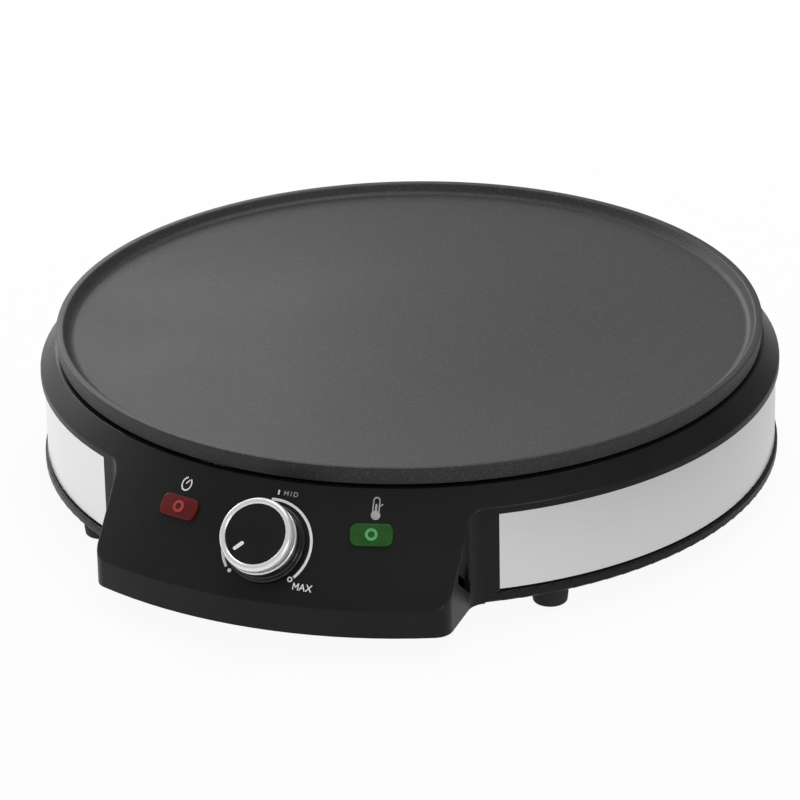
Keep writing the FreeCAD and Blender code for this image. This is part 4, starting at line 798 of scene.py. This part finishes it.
def lamp_window(colour, side, finish, core_finish):
    slot = colour + "_lens"
    height = LENS_PROUD + LENS_SUNK
    window = bar_mesh(LENS_W, LENS_H, height, LENS_CORNER, segments=10)
    rim = [e for e in window.edges if all(v.co.z > (height - LENS_TOP_MARGIN) * MM for v in e.verts)]
    soften(window, rim, LENS_EDGE_R, 4, affect="EDGES")
    close_up(window)
    piece(colour + "_window", on_panel(window, side * LENS_ANGLE, LENS_R_FROM_AXIS, -LENS_SUNK), finish,
          replaces=[slot], sharp_deg=LENS_SHARP_DEG)
    # Lighter ring in the window's middle, whose finish carries a painted glow.
    core = ring_mesh([
        (CORE_FROM_R, 0, 0),
        (CORE_TO_R, 0, 0),
        (CORE_TO_R, CORE_T, CORE_CORNER),
        (CORE_FROM_R, CORE_T, CORE_CORNER),
        (CORE_FROM_R, 0, 0),
    ], steps=48)
    piece(colour + "_core", on_panel(core, side * LENS_ANGLE, LENS_R_FROM_AXIS, LENS_PROUD - CORE_SUNK),
          core_finish)


POWER_ICON_ANGLE = -14.9
POWER_ICON_R_FROM_AXIS = 156.8
HEAT_ICON_ANGLE = 15.1
HEAT_ICON_R_FROM_AXIS = 156.0


def lamp_icons():
    power = [
        arc_mesh(2.15, 0.55, PRINT_T, 100, 415, squash=1.25),
        stroke(-0.3, 0.2, 0.7, 1.7, 0.5),
    ]
    printed("power_icon", power, POWER_ICON_ANGLE, POWER_ICON_R_FROM_AXIS, PRINT_WHITE)
    heat = [
        shift(arc_mesh(1.25, 0.5, PRINT_T, -20, 200, squash=1.2), 0, 2.9),
        stroke(-1.25, 2.7, -1.5, -1.3, 0.5),
        stroke(1.2, 2.7, 1.0, -1.3, 0.5),
        shift(disc_mesh(1.9, PRINT_T), -0.3, -2.9),
        stroke(-0.3, -2.0, -0.1, 1.4, 0.8),
        stroke(1.4, 0.9, 2.4, 1.6, 0.45),
    ]
    printed("heat_icon", heat, HEAT_ICON_ANGLE, HEAT_ICON_R_FROM_AXIS, PRINT_GREY)


# Feet: round pads with a recess for the screw's head

FOOT_H = 8.9
FOOT_R = 7.5
FOOT_TAPER = 0.05
FOOT_TREAD_R = 7.0
FOOT_TREAD_H = 4.0
FOOT_TREAD_CORNER = 0.9
FOOT_RECESS_R = 3.4
FOOT_RECESS_DEPTH = 2.2


def rubber_foot(node):
    lo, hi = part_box(node)
    centre = (lo + hi) / 2
    foot = ring_mesh([
        (0, FOOT_RECESS_DEPTH, 0),
        (FOOT_RECESS_R, FOOT_RECESS_DEPTH, 0.2),
        (FOOT_RECESS_R, 0, 0.3),
        (FOOT_TREAD_R, 0, FOOT_TREAD_CORNER),
        (FOOT_R - FOOT_TAPER, FOOT_TREAD_H, 0),
        (FOOT_R, FOOT_H, 0),
        (0, FOOT_H, 0),
    ], steps=64)
    bmesh.ops.translate(foot, vec=(centre.x, centre.y, 0), verts=foot.verts)
    piece(node + "_pad", foot, FINISHES["foot_rubber"], replaces=[node])


# Cord gland: a rubber bush with a rounded head and a groove for the wall, open for the cord

GLAND_Z = 25.0
GLAND_BORE_R = 3.6
GLAND_TAIL_R = 8.0
GLAND_TAIL_T = 2.0
GLAND_NECK_R = 7.0
GLAND_HEAD_R = 9.0
GLAND_HEAD_T = 2.2
GLAND_DIMPLE = 0.5
GLAND_DIMPLE_OUT_R = 5.9
GLAND_DIMPLE_IN_R = 5.2


def gland_bush():
    lo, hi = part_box("cord_gland")
    depth = (hi.y - lo.y) / MM
    bush = ring_mesh([
        (GLAND_BORE_R, 0, 0.3),
        (GLAND_TAIL_R, 0, 0.5),
        (GLAND_TAIL_R + 0.1, GLAND_TAIL_T, 0.3),
        (GLAND_NECK_R, GLAND_TAIL_T + 0.1, 0.2),
        (GLAND_NECK_R, depth - GLAND_HEAD_T, 0.2),
        (GLAND_HEAD_R, depth - GLAND_HEAD_T, 0.4),
        (GLAND_HEAD_R - 0.2, depth - 0.3, 0.8),
        (GLAND_DIMPLE_OUT_R + 0.5, depth, 0.4),
        (GLAND_DIMPLE_OUT_R, depth - GLAND_DIMPLE, 0.2),
        (GLAND_DIMPLE_IN_R, depth - GLAND_DIMPLE, 0.2),
        (GLAND_DIMPLE_IN_R - 0.4, depth, 0.3),
        (GLAND_BORE_R, depth, 0.3),
        (GLAND_BORE_R, 0, 0),
    ], steps=96)
    turn_all(bush, -math.pi / 2, "X")
    bmesh.ops.translate(bush, vec=(0, lo.y, GLAND_Z * MM), verts=bush.verts)
    bmesh.ops.recalc_face_normals(bush, faces=bush.faces)
    piece("cord_bush", bush, FINISHES["gland_rubber"], replaces=["cord_gland"])


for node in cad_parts.values():
    dress_node(node)
baking_plate()
steel_band()
knob()
knob_scale()
scale_words()
lamp_window("red", -1, FINISHES["red_lens"], RED_CORE)
lamp_window("green", 1, FINISHES["green_lens"], GREEN_CORE)
lamp_icons()
for foot_name in ("foot_1", "foot_2", "foot_3", "foot_4"):
    rubber_foot(foot_name)
gland_bush()


# Floor, light and camera

FLOOR_HALF = 4.0
FLOOR_GLOW_SHARE = 0.93
FLOOR_GLOW_COLOUR = (1, 1, 0.995, 1)
FLOOR_MIRRORED_FROM_X = -0.25
FLOOR_MIRRORED_TO_X = 0.45
FLOOR_MIRRORED_LEFT = 1.04
FLOOR_MIRRORED_RIGHT = 0.50


def floor():
    """Pale floor that shows white, keeps a soft shadow, and is clear from below."""
    bm = bmesh.new()
    bmesh.ops.create_grid(bm, x_segments=8, y_segments=8, size=FLOOR_HALF)
    mesh = bpy.data.meshes.new("floor")
    bm.to_mesh(mesh)
    bm.free()
    material, tree, shader = start_material("pale_floor", specular=0.2)
    where = tree.nodes.new("ShaderNodeTexCoord").outputs["Object"]
    tone = noise(tree, where, 3.0)
    tree.links.new(mix_colours(tree, tone, grey(0.86), grey(0.90)), shader.inputs["Base Color"])
    shader.inputs["Roughness"].default_value = 0.8
    path = tree.nodes.new("ShaderNodeLightPath").outputs
    glow = tree.nodes.new("ShaderNodeEmission")
    glow.inputs["Color"].default_value = FLOOR_GLOW_COLOUR
    side = tree.nodes.new("ShaderNodeSeparateXYZ")
    tree.links.new(where, side.inputs[0])
    fall = spread(tree, side.outputs["X"], FLOOR_MIRRORED_FROM_X, FLOOR_MIRRORED_TO_X,
                  FLOOR_MIRRORED_LEFT, FLOOR_MIRRORED_RIGHT)
    in_mirrors = sums(tree, "MULTIPLY", path["Is Glossy Ray"], fall)
    elsewhere = sums(tree, "SUBTRACT", 1.0, path["Is Glossy Ray"])
    tree.links.new(sums(tree, "ADD", in_mirrors, elsewhere), glow.inputs["Strength"])
    seen = highest(tree, path["Is Camera Ray"], path["Is Glossy Ray"], path["Is Transmission Ray"])
    blend = tree.nodes.new("ShaderNodeMixShader")
    tree.links.new(sums(tree, "MULTIPLY", seen, FLOOR_GLOW_SHARE), blend.inputs[0])
    tree.links.new(shader.outputs[0], blend.inputs[1])
    tree.links.new(glow.outputs[0], blend.inputs[2])
    clear = tree.nodes.new("ShaderNodeBsdfTransparent")
    from_below = tree.nodes.new("ShaderNodeMixShader")
    tree.links.new(tree.nodes.new("ShaderNodeNewGeometry").outputs["Backfacing"], from_below.inputs[0])
    tree.links.new(blend.outputs[0], from_below.inputs[1])
    tree.links.new(clear.outputs[0], from_below.inputs[2])
    tree.links.new(from_below.outputs[0], tree.nodes["Material Output"].inputs["Surface"])
    mesh.materials.append(material)
    obj = bpy.data.objects.new("floor", mesh)
    bpy.context.scene.collection.objects.link(obj)


def fall_towards(tree, where, direction, start, full, level):
    """Brightness that falls from 1 to a level in the directions near a given one."""
    toward = tree.nodes.new("ShaderNodeVectorMath")
    toward.operation = "DOT_PRODUCT"
    toward.inputs[1].default_value = Vector(direction).normalized()
    tree.links.new(where, toward.inputs[0])
    return spread(tree, toward.outputs["Value"], start, full, 1.0, level)


WORLD_LIGHT = 0.42
DIM_FRONT = ((-0.15, -0.66, 0.74), 0.35, 0.95, 0.50)
DIM_RIGHT = ((0.72, 0.62, 0.30), 0.10, 0.85, 0.25)


def studio_world():
    """White to the camera, dimmer in mirrors towards the front and the right, and a soft light."""
    world = bpy.data.worlds.new("studio")
    bpy.context.scene.world = world
    world.use_nodes = True
    tree = world.node_tree
    background = tree.nodes["Background"]
    background.inputs["Color"].default_value = (1, 1, 1, 1)
    path = tree.nodes.new("ShaderNodeLightPath").outputs
    where = tree.nodes.new("ShaderNodeTexCoord").outputs["Generated"]
    dim_front = fall_towards(tree, where, *DIM_FRONT)
    dim_right = fall_towards(tree, where, *DIM_RIGHT)
    mirrored = highest(tree, path["Is Glossy Ray"], path["Is Transmission Ray"])
    reflected = sums(tree, "MULTIPLY", mirrored, sums(tree, "MULTIPLY", dim_front, dim_right))
    shown = highest(tree, path["Is Camera Ray"], reflected)
    lighting = sums(tree, "SUBTRACT", 1.0, highest(tree, path["Is Camera Ray"], mirrored))
    lit = sums(tree, "MULTIPLY", lighting, WORLD_LIGHT)
    tree.links.new(sums(tree, "ADD", shown, lit), background.inputs["Strength"])


def soft_lamp(name, place, target, width, power):
    """Square soft box at a place in metres, pointed at another."""
    data = bpy.data.lights.new(name, "AREA")
    data.shape = "RECTANGLE"
    data.size = width
    data.size_y = width
    data.energy = power
    lamp = bpy.data.objects.new(name, data)
    bpy.context.scene.collection.objects.link(lamp)
    lamp.location = place
    lamp.rotation_mode = "QUATERNION"
    lamp.rotation_quaternion = (Vector(target) - Vector(place)).to_track_quat("-Z", "Y")


CAMERA_FROM_AXIS = Vector((0.63715, -1.717097, 0.88075))
CAMERA_AZIMUTH = 20.5
CAMERA_FORWARD = Vector((-0.31745, 0.84905, -0.42229)).normalized()
CAMERA_ROLL = -1.147
CAMERA_LENS = 212.07
CAMERA_SENSOR = 36.0


def camera():
    data = bpy.data.cameras.new("camera")
    data.lens = CAMERA_LENS
    data.sensor_width = CAMERA_SENSOR
    data.clip_start = 0.05
    data.clip_end = 30.0
    obj = bpy.data.objects.new("camera", data)
    bpy.context.scene.collection.objects.link(obj)
    a = math.radians(CAMERA_AZIMUTH)
    right = Vector((math.cos(a), math.sin(a), 0))
    up = right.cross(CAMERA_FORWARD).normalized()
    right = CAMERA_FORWARD.cross(up).normalized()
    roll = math.radians(CAMERA_ROLL)
    right_rolled = right * math.cos(roll) + up * math.sin(roll)
    up_rolled = up * math.cos(roll) - right * math.sin(roll)
    turned = Matrix((right_rolled, up_rolled, -CAMERA_FORWARD)).transposed()
    obj.rotation_mode = "QUATERNION"
    obj.rotation_quaternion = turned.to_quaternion()
    obj.location = AXIS + CAMERA_FROM_AXIS
    bpy.context.scene.camera = obj


floor()
studio_world()
soft_lamp("left_softbox", (-0.85, 1.15, 0.62), (-0.06, 0.02, 0.06), 0.5, 3.4)
soft_lamp("top_softbox", (0.2, 0.5, 1.9), (0, 0, 0.05), 1.2, 16)
soft_lamp("rim_softbox", (-1.15, 0.42, 0.62), (0.04, 0.04, 0.06), 0.35, 3.0)
soft_lamp("front_softbox", (1.7, -1.1, 0.6), (0, 0, 0.05), 0.7, 8)
camera()
bpy.context.scene.view_settings.view_transform = "Standard"
